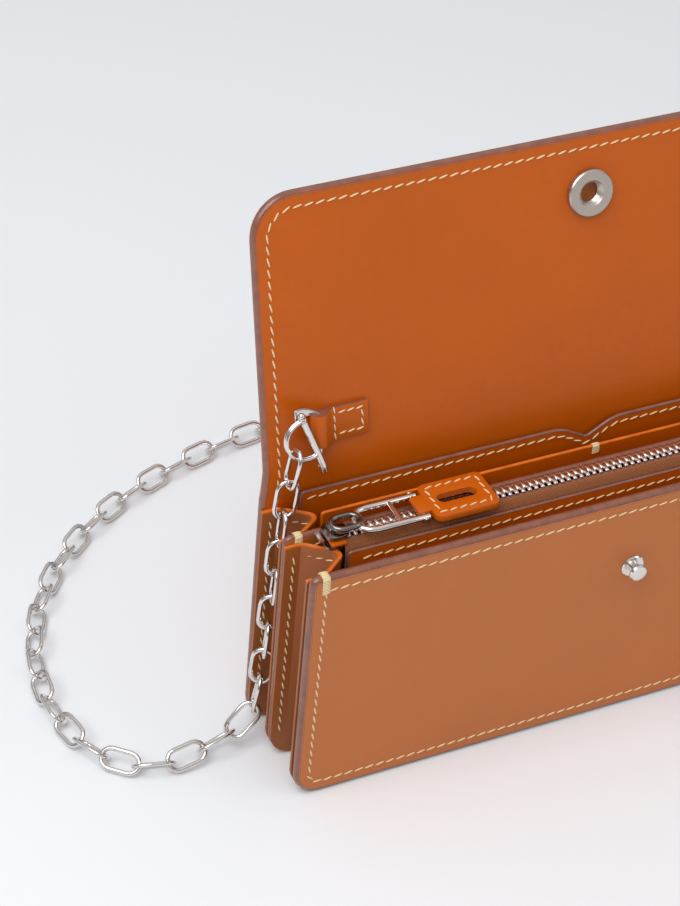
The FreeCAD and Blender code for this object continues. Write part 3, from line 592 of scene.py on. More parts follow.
class WALLET_OT_chain(bpy.types.Operator):
    """Links along the chain's route, each turned a quarter from the last"""
    bl_idname = "wallet.chain"
    bl_label = "Chain"

    def execute(self, context):
        sizes = context.scene.wallet_sizes
        line = chain_route()
        far = [0.0]
        for a, b in zip(line, line[1:]):
            far.append(far[-1] + (b - a).length)
        hold = 3.6 * MM
        count = 2 * round((far[-1] - 2 * hold) / (sizes.link_pitch * MM) / 2) + 1
        pitch = (far[-1] - 2 * hold) / (count - 1)
        link = oval_ring(sizes.link_long, sizes.link_wide, sizes.link_wire, 0.86)
        link_mesh = bpy.data.meshes.new("link")
        link.to_mesh(link_mesh)
        link.free()
        bm = bmesh.new()
        drop_links = round(0.1 / pitch)
        # each half is rolled on from its own clasp, and settles on the links' edges as it reaches the floor
        for side, steps in ((1, (count + 1) // 2), (-1, count // 2)):
            across = Vector((1, 0, 0))
            for step in range(steps):
                want = hold + (step if side == 1 else count - 1 - step) * pitch
                which = bisect.bisect_right(far, want) - 1
                way = (line[which + 1] - line[which]).normalized()
                place = line[which] + way * (want - far[which])
                way *= side
                settled = min(step / drop_links, 1)
                across = across * (1 - settled) + Vector((0, 0, math.copysign(settled, across.z)))
                across = (across - way * across.dot(way)).normalized()
                turn = side * math.radians(90 * ((step + 1) % 2) + 45 * settled)
                axes = Matrix((way, across, way.cross(across))).transposed().to_4x4()
                known = len(bm.verts)
                bm.from_mesh(link_mesh)
                bm.verts.ensure_lookup_table()
                bmesh.ops.transform(bm, verts=bm.verts[known:],
                                    matrix=Matrix.Translation(place / MM) @ axes @ Matrix.Rotation(turn, 4, "X"))
        bpy.data.meshes.remove(link_mesh)
        top = LEFT_DROP[0]
        chain = finish_piece("chain", bm, "polished_nickel", sharp=60,
                             blend=("back", "flap_bridge", Vector((0, top[1], 0.070)), Vector((0, top[1], 0.092))),
                             replaces=("chain_left_drop", "chain_floor", "chain_right_drop"))
        return {"FINISHED"}


# ---------------------------------------------------------------- boards
class WALLET_OT_back_and_flap(bpy.types.Operator):
    """Cover, lining, painted edge and seams of the back board and the flap"""
    bl_idname = "wallet.back_and_flap"
    bl_label = "Back and flap"

    def execute(self, context):
        sizes = context.scene.wallet_sizes
        regions = (
            ("back", back_outline, ROWS, REAR_BLEND, ("back_leather", "flap_bridge_leather"),
             ("back_lining", "back_stiffener", "flap_bridge_lining")),
            ("flap", flap_outline, FRONT_ROWS, FRONT_BLEND, ("flap_leather",), ("flap_lining", "flap_stiffener")),
        )
        for name, outline, rows, blend, cover_nodes, lining_nodes in regions:
            cover = cut_panel(outline(1.1, sizes), 1.3, rows)
            shifted(cover, y=OUTER)
            bend_onto_flap(cover)
            finish_piece(f"{name}_cover", cover, "cover_calf", blend=blend, replaces=cover_nodes)
            snap_hole = [(4.0 * math.cos(math.tau * k / 24), SNAP_LEVEL + 4.0 * math.sin(math.tau * k / 24))
                         for k in range(24)]
            lining = cut_panel(outline(1.1, sizes), 1.2, rows, holes=(snap_hole,) if name == "flap" else ())
            shifted(lining, y=INNER + 1.2)
            bend_onto_flap(lining)
            finish_piece(f"{name}_lining_sheet", lining, "lining_calf", blend=blend,
                         replaces=lining_nodes)
            line = opened(outline(1.45, sizes), SPLIT)
            edge = bead(line, (OUTER + INNER) / 2, 1.53, closed=False)
            sliced(edge, rows)
            bend_onto_flap(edge)
            finish_piece(f"{name}_painted_edge", edge, "board_edge_paint", blend=blend, sharp=60)
            seams = bmesh.new()
            line = opened(outline(sizes.stitch_inset, sizes), SPLIT)
            seam(seams, line, INNER, -1)
            seam(seams, line, OUTER, 1)
            bend_onto_flap(seams)
            finish_piece(f"{name}_seams", seams, "waxed_thread", blend=blend, sharp=80)
        return {"FINISHED"}


def full_board(name, low_y, high_y, body, stack):
    """One upright board: its sheets as (name, front y, back y, finish, slot, nodes), painted edge and seams."""
    sizes = bpy.context.scene.wallet_sizes
    thick = high_y - low_y
    for sheet_name, front, back, finish, slot, nodes in stack:
        sheet = cut_panel(board_outline(thick * 0.37, sizes), back - front)
        shifted(sheet, y=back)
        finish_piece(sheet_name, sheet, finish, body=body, replaces=nodes)
    edge = bead(board_outline(thick * 0.48, sizes), (low_y + high_y) / 2, thick / 2 + 0.03)
    finish_piece(f"{name}_painted_edge", edge, "board_edge_paint", body=body, sharp=60)
    seams = bmesh.new()
    line = board_outline(sizes.stitch_inset, sizes)
    seam(seams, line, low_y, -1, closed=True)
    seam(seams, line, high_y, 1, closed=True)
    finish_piece(f"{name}_seams", seams, "waxed_thread", body=body, sharp=80)


class WALLET_OT_boards(bpy.types.Operator):
    """Front and middle boards"""
    bl_idname = "wallet.boards"
    bl_label = "Front and middle boards"

    def execute(self, context):
        cover, lining = node_box("front_leather"), node_box("front_lining")
        full_board("front", cover[0].y, lining[1].y, "front", (
            ("front_cover", cover[0].y, cover[1].y, "cover_calf", "tan_leather", ("front_leather",)),
            ("front_lining_sheet", lining[0].y, lining[1].y, "lining_calf", "orange_lining",
             ("front_lining", "front_stiffener")),
        ))
        middle = node_box("middle_board")
        full_board("middle", middle[0].y, middle[1].y, "middle", (
            ("middle_panel", middle[0].y, middle[1].y, "cover_calf", "tan_leather", ("middle_board",)),
        ))
        return {"FINISHED"}


class WALLET_OT_pockets(bpy.types.Operator):
    """Slip pocket with its notch, card panel and zip pocket wall"""
    bl_idname = "wallet.pockets"
    bl_label = "Pockets"

    def execute(self, context):
        low, high = node_box("back_slip_pocket")
        notch_half, notch_deep = 8.5, 5.0
        corners = [(low.x, low.z), (high.x, low.z), (high.x, high.z), (notch_half, high.z),
                   (0, high.z - notch_deep), (-notch_half, high.z), (low.x, high.z)]

        def pocket_line(inset):
            inner = [(x - math.copysign(inset, x) if abs(x) > 50 else x, z + inset if z < 20 else z - inset)
                     for x, z in corners]
            return rounded(inner, {2: 1, 3: 2.5, 4: 1.2, 5: 2.5, 6: 1})

        sheet = cut_panel(pocket_line(0.45), high.y - low.y)
        shifted(sheet, y=high.y)
        finish_piece("slip_pocket", sheet, "lining_calf", body="back", replaces=("back_slip_pocket",))
        edge = bead(pocket_line(0.55), (low.y + high.y) / 2, (high.y - low.y) / 2 + 0.04)
        finish_piece("slip_pocket_edge", edge, "board_edge_paint", body="back", sharp=60)
        seams = bmesh.new()
        top_line = [(x, z) for x, z in opened(pocket_line(2.3), low.z + 2.3) if z > high.z - 12]
        seam(seams, top_line, low.y, -1)
        finish_piece("slip_pocket_seam", seams, "waxed_thread", body="back", sharp=80)
        for node, name, body, paint, sewn in (
            ("card_partition", "card_panel", "back", "gusset_edge_paint", False),
            ("zip_pocket_wall", "zip_wall", "middle", "board_edge_paint", True),
        ):
            low, high = node_box(node)

            def panel_line(inset):
                left, right = low.x + inset, high.x - inset
                return rounded([(left, low.z + inset), (right, low.z + inset), (right, high.z - inset),
                                (left, high.z - inset)], {2: 0.6, 3: 0.6})

            sheet = cut_panel(panel_line(0.4), high.y - low.y)
            shifted(sheet, y=high.y)
            finish_piece(f"{name}_sheet", sheet, "lining_calf", body=body, replaces=(node,))
            edge = bead(panel_line(0.47), (low.y + high.y) / 2, (high.y - low.y) / 2 + 0.03)
            finish_piece(f"{name}_edge", edge, paint, body=body, sharp=60)
            if sewn:
                seams = bmesh.new()
                seam(seams, [(low.x + 4, high.z - 3), (high.x - 4, high.z - 3)], low.y, -1)
                finish_piece(f"{name}_seam", seams, "waxed_thread", body=body, sharp=80)
        return {"FINISHED"}


def gusset_fold(node):
    """The CAD gusset with its sharp fold rounded and the rim of its mouth picked out."""
    low, high = node_box(node)
    bm = bmesh.new()
    bm.from_mesh(frame["nodes"][node].data)
    bmesh.ops.scale(bm, vec=(1 / MM,) * 3, verts=bm.verts)
    bmesh.ops.remove_doubles(bm, verts=bm.verts, dist=0.005)
    bmesh.ops.dissolve_limit(bm, angle_limit=math.radians(1), verts=bm.verts, edges=bm.edges)
    middle = (low.y + high.y) / 2
    folds = [e for e in bm.edges if all(abs(v.co.y - middle) < 0.1 for v in e.verts) and e.calc_length() > 20]
    bmesh.ops.bevel(bm, geom=folds, offset=FOLD_ROUND, segments=5, profile=0.5, affect="EDGES",
                    material=-1, clamp_overlap=True)
    for face in bm.faces:
        face.material_index = 1 if face.normal.z > 0.9 and face.calc_center_median().z > high.z - 0.5 else 0
    return bm


class WALLET_OT_gussets(bpy.types.Operator):
    """Folded sides of the two compartments, with their bright painted mouths"""
    bl_idname = "wallet.gussets"
    bl_label = "Gussets"

    def execute(self, context):
        flange, inset, thick = 5.0, 13.0, 1.0
        mouth, foot = context.scene.wallet_sizes.mouth_half, context.scene.wallet_sizes.foot_half
        for node, body, joint, travel in (
            ("rear_gusset", "back", "middle_shift", 2.4),
            ("front_gusset", "middle", "front_shift", 5.2),
        ):
            low, high = node_box(node)
            middle, back, front = (low.y + high.y) / 2, high.y - thick / 2, low.y + thick / 2
            rim = bmesh.new()
            seams = bmesh.new()
            for side in (-1, 1):
                corners = [(back, side * mouth), (back, side * (mouth - flange)), (middle, side * (mouth - inset - 0.9)),
                           (front, side * (mouth - flange)), (front, side * mouth)]
                line = opened(rounded(corners, {1: 1.2, 2: FOLD_ROUND, 3: 1.2}), side * mouth)
                joined(rim, tube([(x, y, high.z - 0.15) for y, x in line], 0.62))
                fold = Vector((side * (mouth - inset), middle, high.z - 3.2))
                for edge, facing in ((back - thick / 2, -1), (front + thick / 2, 1)):
                    flat = Vector((side * (mouth - flange), edge, high.z - 3.2))
                    way = (fold - flat).normalized()
                    outwards = way.cross((0, 0, 1)) * (-1 if way.cross((0, 0, 1)).x * side < 0 else 1)
                    sew(seams, [flat.lerp(fold, 0.04), flat.lerp(fold, 0.86)], outwards)
                    sew(seams, [(side * (foot - 2.6), edge, 9), (side * (mouth - 2.6), edge, high.z - 3.2)],
                        (0, facing, 0))
            for name, bm, finish in ((f"{node}_fold", gusset_fold(node), ("gusset_calf", "gusset_edge_paint")),
                                     (f"{node}_rim", rim, "gusset_edge_paint"),
                                     (f"{node}_seams", seams, "waxed_thread")):
                piece = finish_piece(name, bm, finish, body=body,
                                     replaces=(node,) if name.endswith("fold") else (), sharp=40)
                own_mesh(piece)
        return {"FINISHED"}


# ---------------------------------------------------------------- zip
def strip(profile, thick, left, right):
    """A band along X: an open (y, z) profile, given its thickness to both sides."""
    bm = bmesh.new()
    verts = [bm.verts.new((left, y, z)) for y, z in profile]
    edges = [bm.edges.new(pair) for pair in zip(verts, verts[1:])]
    new = bmesh.ops.extrude_edge_only(bm, edges=edges)["geom"]
    bmesh.ops.translate(bm, vec=(right - left, 0, 0), verts=[g for g in new if isinstance(g, bmesh.types.BMVert)])
    bmesh.ops.recalc_face_normals(bm, faces=bm.faces[:])
    bmesh.ops.solidify(bm, geom=bm.faces[:], thickness=thick)
    bmesh.ops.recalc_face_normals(bm, faces=bm.faces[:])
    return bm


class WALLET_OT_zip(bpy.types.Operator):
    """Woven tapes and two rows of meshed teeth"""
    bl_idname = "wallet.zip"
    bl_label = "Zip"

    def execute(self, context):
        rear_low, rear_high = node_box("zip_teeth_rear")
        front_low, front_high = node_box("zip_teeth_front")
        level = (rear_low.z + rear_high.z) / 2
        middle = (rear_low.y + front_high.y) / 2
        board, wall = node_box("middle_board")[0].y, node_box("zip_pocket_wall")[1].y
        tape_low, tape_high = node_box("zip_pocket_wall")
        rear = strip([(rear_high.y - 0.6, level), (board - 0.9, level), (board - 0.45, level - 0.5),
                      (board - 0.4, level - 5)], 0.5, tape_low.x, tape_high.x)
        finish_piece("zip_tape_behind", rear, "herringbone_tape", body="middle", replaces=("zip_tape_rear",))
        front = strip([(front_low.y + 0.6, level), (front_low.y - 0.5, level - 0.15), (wall + 1.3, level - 0.9),
                       (wall + 0.6, level - 2.0), (wall + 0.35, level - 3.5), (wall + 0.3, level - 12)],
                      0.5, tape_low.x, tape_high.x)
        finish_piece("zip_tape_before", front, "herringbone_tape", body="middle",
                     replaces=("zip_tape_front",))
        reach = 3.1
        for name, node, low, side in (("teeth_behind", "zip_teeth_rear", rear_low, 1),
                                      ("teeth_before", "zip_teeth_front", front_low, -1)):
            bm = bmesh.new()
            for number in range(82):
                x = rear_low.x + 0.95 + 2.0 * number + (0 if side > 0 else 1.0)
                centre = middle + side * (2.35 - reach / 2)
                block = Matrix.Translation((x, centre, level)) @ Matrix.Rotation(side * 0.12, 4, "Z") \
                    @ Matrix.Diagonal((1.05, reach, 2.0, 1))
                bmesh.ops.create_cube(bm, size=1.0, matrix=block)
            bmesh.ops.bevel(bm, geom=bm.edges[:], offset=0.24, segments=1, profile=0.5, affect="EDGES", material=-1)
            finish_piece(name, bm, "polished_nickel", body="middle", replaces=(node,), sharp=50)
        start, row_back, row_front = tape_low.x + 0.4, rear_high.y - 0.3, front_low.y + 0.3
        bay = rear_low.x - 0.6
        end = cut_panel([(bay - 3.4, front_low.y - 1.9), (start, front_low.y - 1.9), (start, row_front), (bay, row_front),
                         (bay, row_back), (start, row_back), (start, board + 0.1), (bay - 3.4, board + 0.1)], 0.9)
        laid_flat(end, level - 0.45)
        tab = bmesh.new()
        upright = Matrix.Translation((bay - 1.2, middle + 1.4, level + 1.5)) @ Matrix.Diagonal((1.2, 3.2, 3.6, 1))
        bmesh.ops.create_cube(tab, size=1.0, matrix=upright)
        soften(joined(end, tab), 0.25)
        finish_piece("zip_leather_end", end, "lining_calf", body="middle")
        tack = bmesh.new()
        for number in range(9):
            stitch(tack, Vector((bay - 2.4, middle - 1.6 + 0.45 * number, level + 0.5)), Vector((1, 0.12, 0)),
                   Vector((0, 0, 1)), 2.0, 0.55)
        finish_piece("zip_end_tack", tack, "waxed_thread", body="middle", sharp=80)
        return {"FINISHED"}


class WALLET_OT_slider(bpy.types.Operator):
    """Slider, its bridge, the pull frame and the stitched leather pull"""
    bl_idname = "wallet.slider"
    bl_label = "Slider and pull"

    def execute(self, context):
        sizes = context.scene.wallet_sizes
        low, high = node_box("zip_slider")
        middle_y = node_box("pull_frame")[0].y / 2 + node_box("pull_frame")[1].y / 2
        half = (high.y - low.y) / 2
        nose = [(low.x, middle_y - half * 0.7), (low.x + 2.6, middle_y - half), (high.x, middle_y - half * 0.8),
                (high.x, middle_y + half * 0.8), (low.x + 2.6, middle_y + half), (low.x, middle_y + half * 0.7)]
        body = bmesh.new()
        for base, thick in ((high.z - 1.1, 1.1), (low.z, 1.0)):
            plate = cut_panel(rounded(nose, {0: 1.2, 1: 1.5, 2: 1.2, 3: 1.2, 4: 1.5, 5: 1.2}), thick)
            laid_flat(plate, base)
            soften(plate, 0.32)
            joined(body, plate)
        finish_piece("slider_body", body, "dark_nickel", body="slider", replaces=("zip_slider",))
        arch_low, arch_high = node_box("slider_bridge")
        ring = oval_ring(arch_high.x - arch_low.x - 0.4, 6.8, 1.6)
        shifted(ring, (arch_low.x + arch_high.x) / 2 + 0.2, middle_y, arch_high.z - 0.8)
        post = Matrix.Translation((arch_low.x + 1.0, middle_y, high.z + 0.7)) @ Matrix.Diagonal((1.8, 3.2, 1.8, 1))
        made = bmesh.ops.create_cube(ring, size=1.0, matrix=post)["verts"]
        edges = list({e for v in made for e in v.link_edges})
        bmesh.ops.bevel(ring, geom=edges, offset=0.35, segments=2, profile=0.5, affect="EDGES", material=-1)
        finish_piece("slider_ring", ring, "dark_nickel", body="slider", replaces=("slider_bridge",),
                     sharp=60)
        low, high = node_box("pull_frame")
        wire, level = 1.9, (low.z + high.z) / 2
        reach = (high.y - low.y) / 2
        bm = bmesh.new()
        start = Matrix.Translation((high.x, middle_y + reach - wire / 2, level)) @ Matrix.Rotation(math.pi / 2, 4, "Y")
        bmesh.ops.create_circle(bm, cap_ends=False, segments=12, radius=wire / 2, matrix=start)
        bend_x = low.x + reach
        ring = grown(bm, bm.edges[:], move=(bend_x - high.x, 0, 0))
        ring = grown(bm, ring, spin=(bend_x, middle_y, 0))
        grown(bm, ring, move=(high.x - bend_x, 0, 0))
        bmesh.ops.holes_fill(bm, edges=bm.edges[:], sides=12)
        bmesh.ops.recalc_face_normals(bm, faces=bm.faces[:])
        soften(bm, 0.3)
        bar = Matrix.Translation((low.x + 12.8, middle_y, level)) @ Matrix.Rotation(math.pi / 2, 4, "X")
        bmesh.ops.create_cone(bm, cap_ends=True, segments=12, radius1=0.75, radius2=0.75, depth=2 * reach - wire,
                              matrix=bar)
        pin_low, pin_high = node_box("pull_pin")
        pin_x = (pin_low.x + pin_high.x) / 2
        for side in (-1, 1):
            head = Matrix.Translation((pin_x, middle_y + side * (reach + 0.05), level)) @ Matrix.Diagonal(
                (1, 0.45, 1, 1))
            bmesh.ops.create_uvsphere(bm, u_segments=12, v_segments=8, radius=0.75, matrix=head)
        finish_piece("pull_ring", bm, "polished_nickel", body="pull_frame", replaces=("pull_frame",),
                     sharp=50)

        low, high = node_box("leather_pull")
        plate_start = pin_x + 2.4
        half, thick = (high.y - low.y) / 2, high.z - low.z
        outline = rounded([(plate_start, middle_y - half), (high.x, middle_y - half), (high.x, middle_y + half),
                           (plate_start, middle_y + half)], {0: 2.2, 1: 1.6, 2: 1.6, 3: 2.2})
        slot_left, slot_right, slot_half = pin_x + 7.5, pin_x + 15.5, 1.8
        slot = rounded([(slot_left - slot_half, middle_y - slot_half), (slot_right + slot_half, middle_y - slot_half),
                        (slot_right + slot_half, middle_y + slot_half), (slot_left - slot_half, middle_y + slot_half)],
                       {k: slot_half * 0.98 for k in range(4)})
        plate = cut_panel(outline, thick, holes=(slot,))
        laid_flat(plate, low.z)
        soften(plate, 0.3)
        neck_line = rounded([(pin_x - 1.2, low.z + 0.05), (plate_start + 1.5, low.z + 0.05),
                             (plate_start + 1.5, high.z - 0.05), (pin_x - 1.2, high.z - 0.05)], {0: 0.9, 3: 0.9})
        neck = cut_panel(neck_line, 6.8)
        shifted(neck, y=middle_y + 3.4)
        soften(neck, 0.25)
        joined(plate, neck)
        finish_piece("pull_strap", plate, "lining_calf", body="leather_pull",
                     replaces=("leather_pull",))
        seams = bmesh.new()
        sewn = rounded([(plate_start + 1.8, middle_y - half + 1.8), (high.x - 1.8, middle_y - half + 1.8),
                        (high.x - 1.8, middle_y + half - 1.8), (plate_start + 1.8, middle_y + half - 1.8)],
                       {k: 1.0 for k in range(4)})
        seam(seams, sewn, -thick, -1, closed=True, pitch=2.9)
        laid_flat(seams, low.z)
        finish_piece("pull_strap_seam", seams, "waxed_thread", body="leather_pull", sharp=80)
        return {"FINISHED"}


# ---------------------------------------------------------------- snap
def turned(profile, steps=48):
    """A round piece: a closed (radius, y) profile turned about the Y axis."""
    bm = bmesh.new()
    verts = [bm.verts.new((r, y, 0)) for r, y in profile]
    edges = [bm.edges.new((verts[k - 1], verts[k])) for k in range(len(verts))
             if profile[k][0] > 0 or profile[k - 1][0] > 0]
    bmesh.ops.spin(bm, geom=edges, cent=(0, 0, 0), axis=(0, 1, 0), angle=math.tau, steps=steps, use_merge=True)
    bmesh.ops.remove_doubles(bm, verts=bm.verts, dist=0.003)
    bmesh.ops.recalc_face_normals(bm, faces=bm.faces[:])
    return bm


class WALLET_OT_snap(bpy.types.Operator):
    """Snap socket in the flap and the stud on the front board"""
    bl_idname = "wallet.snap"
    bl_label = "Snap"

    def execute(self, context):
        face = INNER
        # the hole's wall has three thread-like ribs
        ribs = [(3.3 if k % 2 else 3.0, face - 1.5 + 0.32 * k) for k in range(0, 8)]
        washer = turned([(6.7, face + 0.1), (6.7, face - 1.75), (6.35, face - 2.1), (3.75, face - 2.1),
                         (3.4, face - 1.8), *ribs, (3.3, 0.2), (0.0, 0.2), (0.0, 0.45), (4.2, 0.45),
                         (4.2, face + 0.1)])
        shifted(washer, z=SNAP_LEVEL)
        bend_onto_flap(washer)
        finish_piece("snap_washer", washer, "satin_nickel", body="flap_front",
                     replaces=("snap_socket",))
        low, high = node_box("snap_stud")
        front = node_box("front_leather")[0].y
        post = turned([(0.0, low.y), (1.5, low.y + 0.05), (2.3, low.y + 0.3), (2.68, low.y + 0.85),
                       (2.6, low.y + 1.3), (2.0, low.y + 1.9), (1.7, low.y + 2.4), (1.7, front - 0.75),
                       (2.5, front - 0.72), (3.2, front - 0.6), (3.5, front - 0.3), (3.5, front), (1.2, front),
                       (1.2, front + 1.2), (0.0, front + 1.2)])
        shifted(post, z=(low.z + high.z) / 2)
        finish_piece("snap_post", post, "polished_nickel", body="front",
                     replaces=("snap_stud", "snap_stud_base"))
        return {"FINISHED"}


# ---------------------------------------------------------------- chain tabs, clasps and tacks
class WALLET_OT_chain_tabs(bpy.types.Operator):
    """Stitched leather loops that hold the clasps"""
    bl_idname = "wallet.chain_tabs"
    bl_label = "Chain tabs"

    def execute(self, context):
        face, centre, radius = INNER, (-82.5, INNER - 2.7), 2.7
        low, high = REAR_FOLD.z + 8.6, REAR_FOLD.z + 18.0
        for side in ("left", "right"):
            bm = bmesh.new()
            around = [(centre[0] + radius * math.cos(math.radians(a)), centre[1] + radius * math.sin(math.radians(a)))
                      for a in range(-60, -271, -15)]
            outline = [(-67.5, face), (-67.5, face - 1.5), (-78.0, face - 1.75), (-79.6, face - 2.9), *around]
            bm = cut_panel(outline, high - low)
            bmesh.ops.rotate(bm, cent=(0, 0, 0), matrix=Matrix.Rotation(-math.pi / 2, 3, "X"), verts=bm.verts)
            shifted(bm, z=low)
            soften(bm, 0.28)
            for flat in bm.faces:
                flat.material_index = 1 if abs(flat.normal.z) > 0.8 else 0
            if side == "right":
                mirror_across(bm)
            bend_onto_flap(bm)
            finish_piece(f"leather_loop_{side}", bm, ("lining_calf", "board_edge_paint"),
                         body="flap_bridge", replaces=(f"chain_tab_{side}",))
            seams = bmesh.new()
            seam(seams, [(-76.6, high - 1.6), (-69.4, high - 1.6), (-69.4, low + 1.6), (-76.6, low + 1.6)],
                 face - 1.58, -1, pitch=2.6)
            seam(seams, [(-77.6, low - 0.2), (-77.6, high + 0.5)], face - 1.75, -1, pitch=2.4, slant=8)
            if side == "right":
                mirror_across(seams)
            bend_onto_flap(seams)
            finish_piece(f"leather_loop_{side}_seam", seams, "waxed_thread", body="flap_bridge",
                         sharp=80)
        return {"FINISHED"}


def arc_through(start, middle, end, steps=14):
    """Points of the arc through three (x, z) places."""
    a, b, c = (complex(*p) for p in (start, middle, end))
    w = (c - a) / (b - a)
    centre = a + (b - a) * (w - abs(w) ** 2) / (w - w.conjugate())
    turn = cmath.phase((c - centre) / (a - centre))
    if turn * cmath.phase((b - centre) / (a - centre)) < 0:
        turn -= math.copysign(math.tau, turn)
    return [((p := centre + (a - centre) * cmath.exp(1j * turn * k / steps)).real, p.imag) for k in range(steps + 1)]


class WALLET_OT_clasps(bpy.types.Operator):
    """Stirrups in the leather loops, with the bar and double bow that hold the chain's ends"""
    bl_idname = "wallet.clasps"
    bl_label = "Clasps"

    def execute(self, context):
        fold, loop_x, loop_y = REAR_FOLD.z, -82.5, INNER - 2.7
        bar_y = loop_y - 3.6
        foot, head = Vector((-82.8, bar_y, fold + 3.0)), Vector((-89.2, bar_y, fold + 20.5))
        for side in ("left", "right"):
            stirrup = tube([(loop_x, loop_y, fold + 2.7), (loop_x, loop_y, fold + 17.6)], 0.9)
            sweep = [(loop_x + 0.9 + (head.x - loop_x - 1.9) * k / 12, loop_y + 0.2 + (bar_y - loop_y + 1.5) * (k / 12) ** 2)
                     for k in range(13)]
            band = cut_panel([(x, y + 0.6) for x, y in sweep] + [(x, y - 0.6) for x, y in reversed(sweep)], 2.9)
            laid_flat(band, fold + 18.3)
            for vert in band.verts:
                past = (head.x - vert.co.x) / (head.x - loop_x)
                vert.co.z = fold + 20.4 + (vert.co.z - fold - 20.4) * (0.45 + 0.75 * (1 - past)) - 2.4 * past ** 2
            soften(band, 0.42, segments=3)
            clasp = tube([foot.lerp(head, k / 10) for k in range(11)], 1.05)
            soften(clasp, 0.35)
            for place, radius in ((head + Vector((0, -0.75, 0)), 0.95), (foot.lerp(head, 0.9), 1.15)):
                bmesh.ops.create_uvsphere(clasp, u_segments=14, v_segments=9, radius=radius,
                                          matrix=Matrix.Translation(place))
            top, end = foot.lerp(head, 0.9), foot.lerp(head, 0.3)
            bow = arc_through((top.x, top.z), (-93.4, fold + 11.6), (end.x, end.z))
            for shift in (-0.45, 0.45):
                joined(clasp, tube([(x, bar_y + shift, z) for x, z in bow], 0.55))
            for name, bm, node in (("stirrup_band", joined(stirrup, band), "stirrup"), ("chain_clasp", clasp, "clasp")):
                if side == "right":
                    mirror_across(bm)
                bend_onto_flap(bm)
                finish_piece(f"{name}_{side}", bm, "polished_nickel", body=f"clasp_{side}",
                             replaces=(f"{node}_{side}",), sharp=50)
        return {"FINISHED"}


class WALLET_OT_tacks(bpy.types.Operator):
    """Bar tacks: close turns of thread that hold the ends of the seams"""
    bl_idname = "wallet.tacks"
    bl_label = "Bar tacks"

    def execute(self, context):
        sizes = context.scene.wallet_sizes
        front_low, front_high = node_box("front_leather")[0].y, node_box("front_lining")[1].y
        middle_low, middle_high = node_box("middle_board")[0].y, node_box("middle_board")[1].y
        part_low, part_high = node_box("card_partition")
        tacks = (
            ("front_tacks", "front", (-1, 1), sizes.mouth_half - 4.2, front_low, front_high, MOUTH, 5.0),
            ("middle_tacks", "middle", (-1, 1), sizes.mouth_half - 4.2, middle_low, middle_high, MOUTH, 4.0),
            ("card_panel_tack", "back", (1,), 0.0, part_low.y, part_high.y, part_high.z, 2.6),
        )
        for name, body, sides, x, near, far, top, down in tacks:
            bm = bmesh.new()
            for side in sides:
                lift, radius = 0.08, 0.4
                line = [Vector((side * x, near - lift, top - down)), Vector((side * x, near - lift, top - radius)),
                        Vector((side * x, near + radius, top + lift)), Vector((side * x, far - radius, top + lift)),
                        Vector((side * x, far + lift, top - radius)), Vector((side * x, far + lift, top - down))]
                for start, end in zip(line, line[1:]):
                    steps = max(1, round((end - start).length / 0.45))
                    out = Vector((1, 0, 0)).cross(end - start).normalized()
                    for k in range(steps):
                        lean = Matrix.Rotation(0.12, 3, out) @ Vector((1, 0, 0))
                        stitch(bm, start.lerp(end, k / steps), lean, out, 2.5, 0.6)
            finish_piece(name, bm, "waxed_thread", body=body, sharp=80)
        return {"FINISHED"}


class WALLET_OT_plain_nodes(bpy.types.Operator):
    """Finishes for the CAD pieces that stay as they are"""
    bl_idname = "wallet.plain_nodes"
    bl_label = "Metal fittings"

    def execute(self, context):
        made = finishes()
        for nodes, finish in (
            (("pull_pin", "snap_stud_rivet", "zip_closed_stop", "zip_open_stop"), "polished_nickel"),
        ):
            for node in nodes:
                materials = frame["nodes"][node].data.materials
                materials.clear()
                materials.append(made[finish])
        return {"FINISHED"}


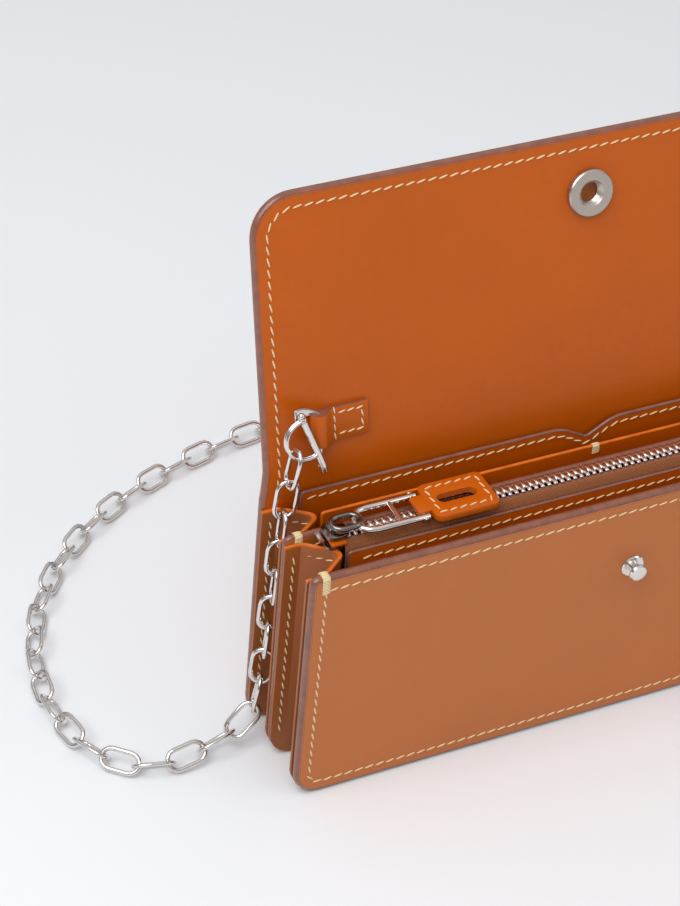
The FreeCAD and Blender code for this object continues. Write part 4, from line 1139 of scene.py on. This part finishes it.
# ---------------------------------------------------------------- stage
class WALLET_OT_stage(bpy.types.Operator):
    """Floor, soft light and camera"""
    bl_idname = "wallet.stage"
    bl_label = "Stage"

    def execute(self, context):
        scene, studio = context.scene, context.scene.wallet_studio
        scene.view_settings.view_transform = "Standard"
        material, tree, shader, _ = new_material("studio_floor")
        shader.inputs["Base Color"].default_value = linear(studio.floor)
        shader.inputs["Roughness"].default_value = 0.9
        shader.inputs["Specular IOR Level"].default_value = 0.1
        mesh = bpy.data.meshes.new("floor")
        bm = bmesh.new()
        bmesh.ops.create_grid(bm, x_segments=2, y_segments=2, size=4.0)
        bm.to_mesh(mesh)
        bm.free()
        mesh.materials.append(material)
        floor = bpy.data.objects.new("floor", mesh)
        floor.location.z = -0.0002
        scene.collection.objects.link(floor)

        world = bpy.data.worlds.new("studio_room")
        world.use_nodes = True
        room = world.node_tree
        background = room.nodes["Background"]
        height = add(room, "ShaderNodeSeparateXYZ", inputs={0: add(room, "ShaderNodeTexCoord").outputs["Generated"]})
        walls = ramp(room, height.outputs["Z"], [(0.0, shade("#F2F4F7", 0.55)), (0.22, shade("#F2F4F7", 0.25)),
                                                 (0.5, shade("#F2F4F7", 0.8)), (1.0, shade("#F2F4F7", 1.5))])
        room.links.new(walls, background.inputs["Color"])
        background.inputs["Strength"].default_value = studio.world
        scene.world = world
        for name, place, target, size, power in (
            ("key_light", (-0.55, -0.25, 0.95), (0, 0, 0.05), 0.9, studio.key),
            ("fill_light", (0.9, -0.7, 0.6), (0, 0, 0.08), 0.6, studio.fill),
        ):
            data = bpy.data.lights.new(name, "AREA")
            data.shape, data.size, data.energy = "DISK", size, power
            lamp = bpy.data.objects.new(name, data)
            lamp.location = place
            lamp.rotation_euler = (Vector(target) - Vector(place)).to_track_quat("-Z", "Y").to_euler()
            scene.collection.objects.link(lamp)

        side, height, roll = math.radians(27.03), math.radians(38.52), math.radians(4.08)
        back = Vector((-math.sin(side) * math.cos(height), -math.cos(side) * math.cos(height), math.sin(height)))
        right = Vector((math.cos(side), -math.sin(side), 0))
        up = back.cross(right)
        across = right * math.cos(roll) + up * math.sin(roll)
        data = bpy.data.cameras.new("camera")
        data.sensor_width = 36.0
        data.lens = 2618 / CAMERA_IMAGE_HEIGHT * data.sensor_width
        data.clip_start = 0.05
        camera = bpy.data.objects.new("camera", data)
        target = Vector((-0.0752, 0.0162, 0.0889))
        camera.matrix_world = Matrix.Translation(target + back * 0.702) @ Matrix(
            (across, back.cross(across), back)).transposed().to_4x4()
        scene.collection.objects.link(camera)
        scene.camera = camera
        return {"FINISHED"}


class WALLET_PT_pieces(bpy.types.Panel):
    """Lists the wallet's pieces in the order they are made"""
    bl_idname = "WALLET_PT_pieces"
    bl_label = "Chain wallet"
    bl_space_type = "VIEW_3D"
    bl_region_type = "UI"
    bl_category = "Wallet"

    def draw(self, context):
        for operator in OPERATORS:
            self.layout.operator(operator.bl_idname)


OPERATORS = (WALLET_OT_stage, WALLET_OT_chain, WALLET_OT_back_and_flap, WALLET_OT_boards, WALLET_OT_pockets,
             WALLET_OT_gussets, WALLET_OT_zip, WALLET_OT_slider, WALLET_OT_snap, WALLET_OT_chain_tabs,
             WALLET_OT_clasps, WALLET_OT_tacks, WALLET_OT_plain_nodes)
GROUPS = {"wallet_sizes": WalletSizes, "wallet_colours": WalletColours, "wallet_studio": StudioSettings}


def register():
    for cls in (*GROUPS.values(), *OPERATORS, WALLET_PT_pieces):
        bpy.utils.register_class(cls)
    for name, group in GROUPS.items():
        setattr(bpy.types.Scene, name, PointerProperty(type=group))


def unregister():
    for name in GROUPS:
        delattr(bpy.types.Scene, name)
    for cls in reversed((*GROUPS.values(), *OPERATORS, WALLET_PT_pieces)):
        bpy.utils.unregister_class(cls)


def main():
    register()
    for operator in OPERATORS:
        group, name = operator.bl_idname.split(".")
        getattr(getattr(bpy.ops, group), name)()


if __name__ == "__main__":
    main()
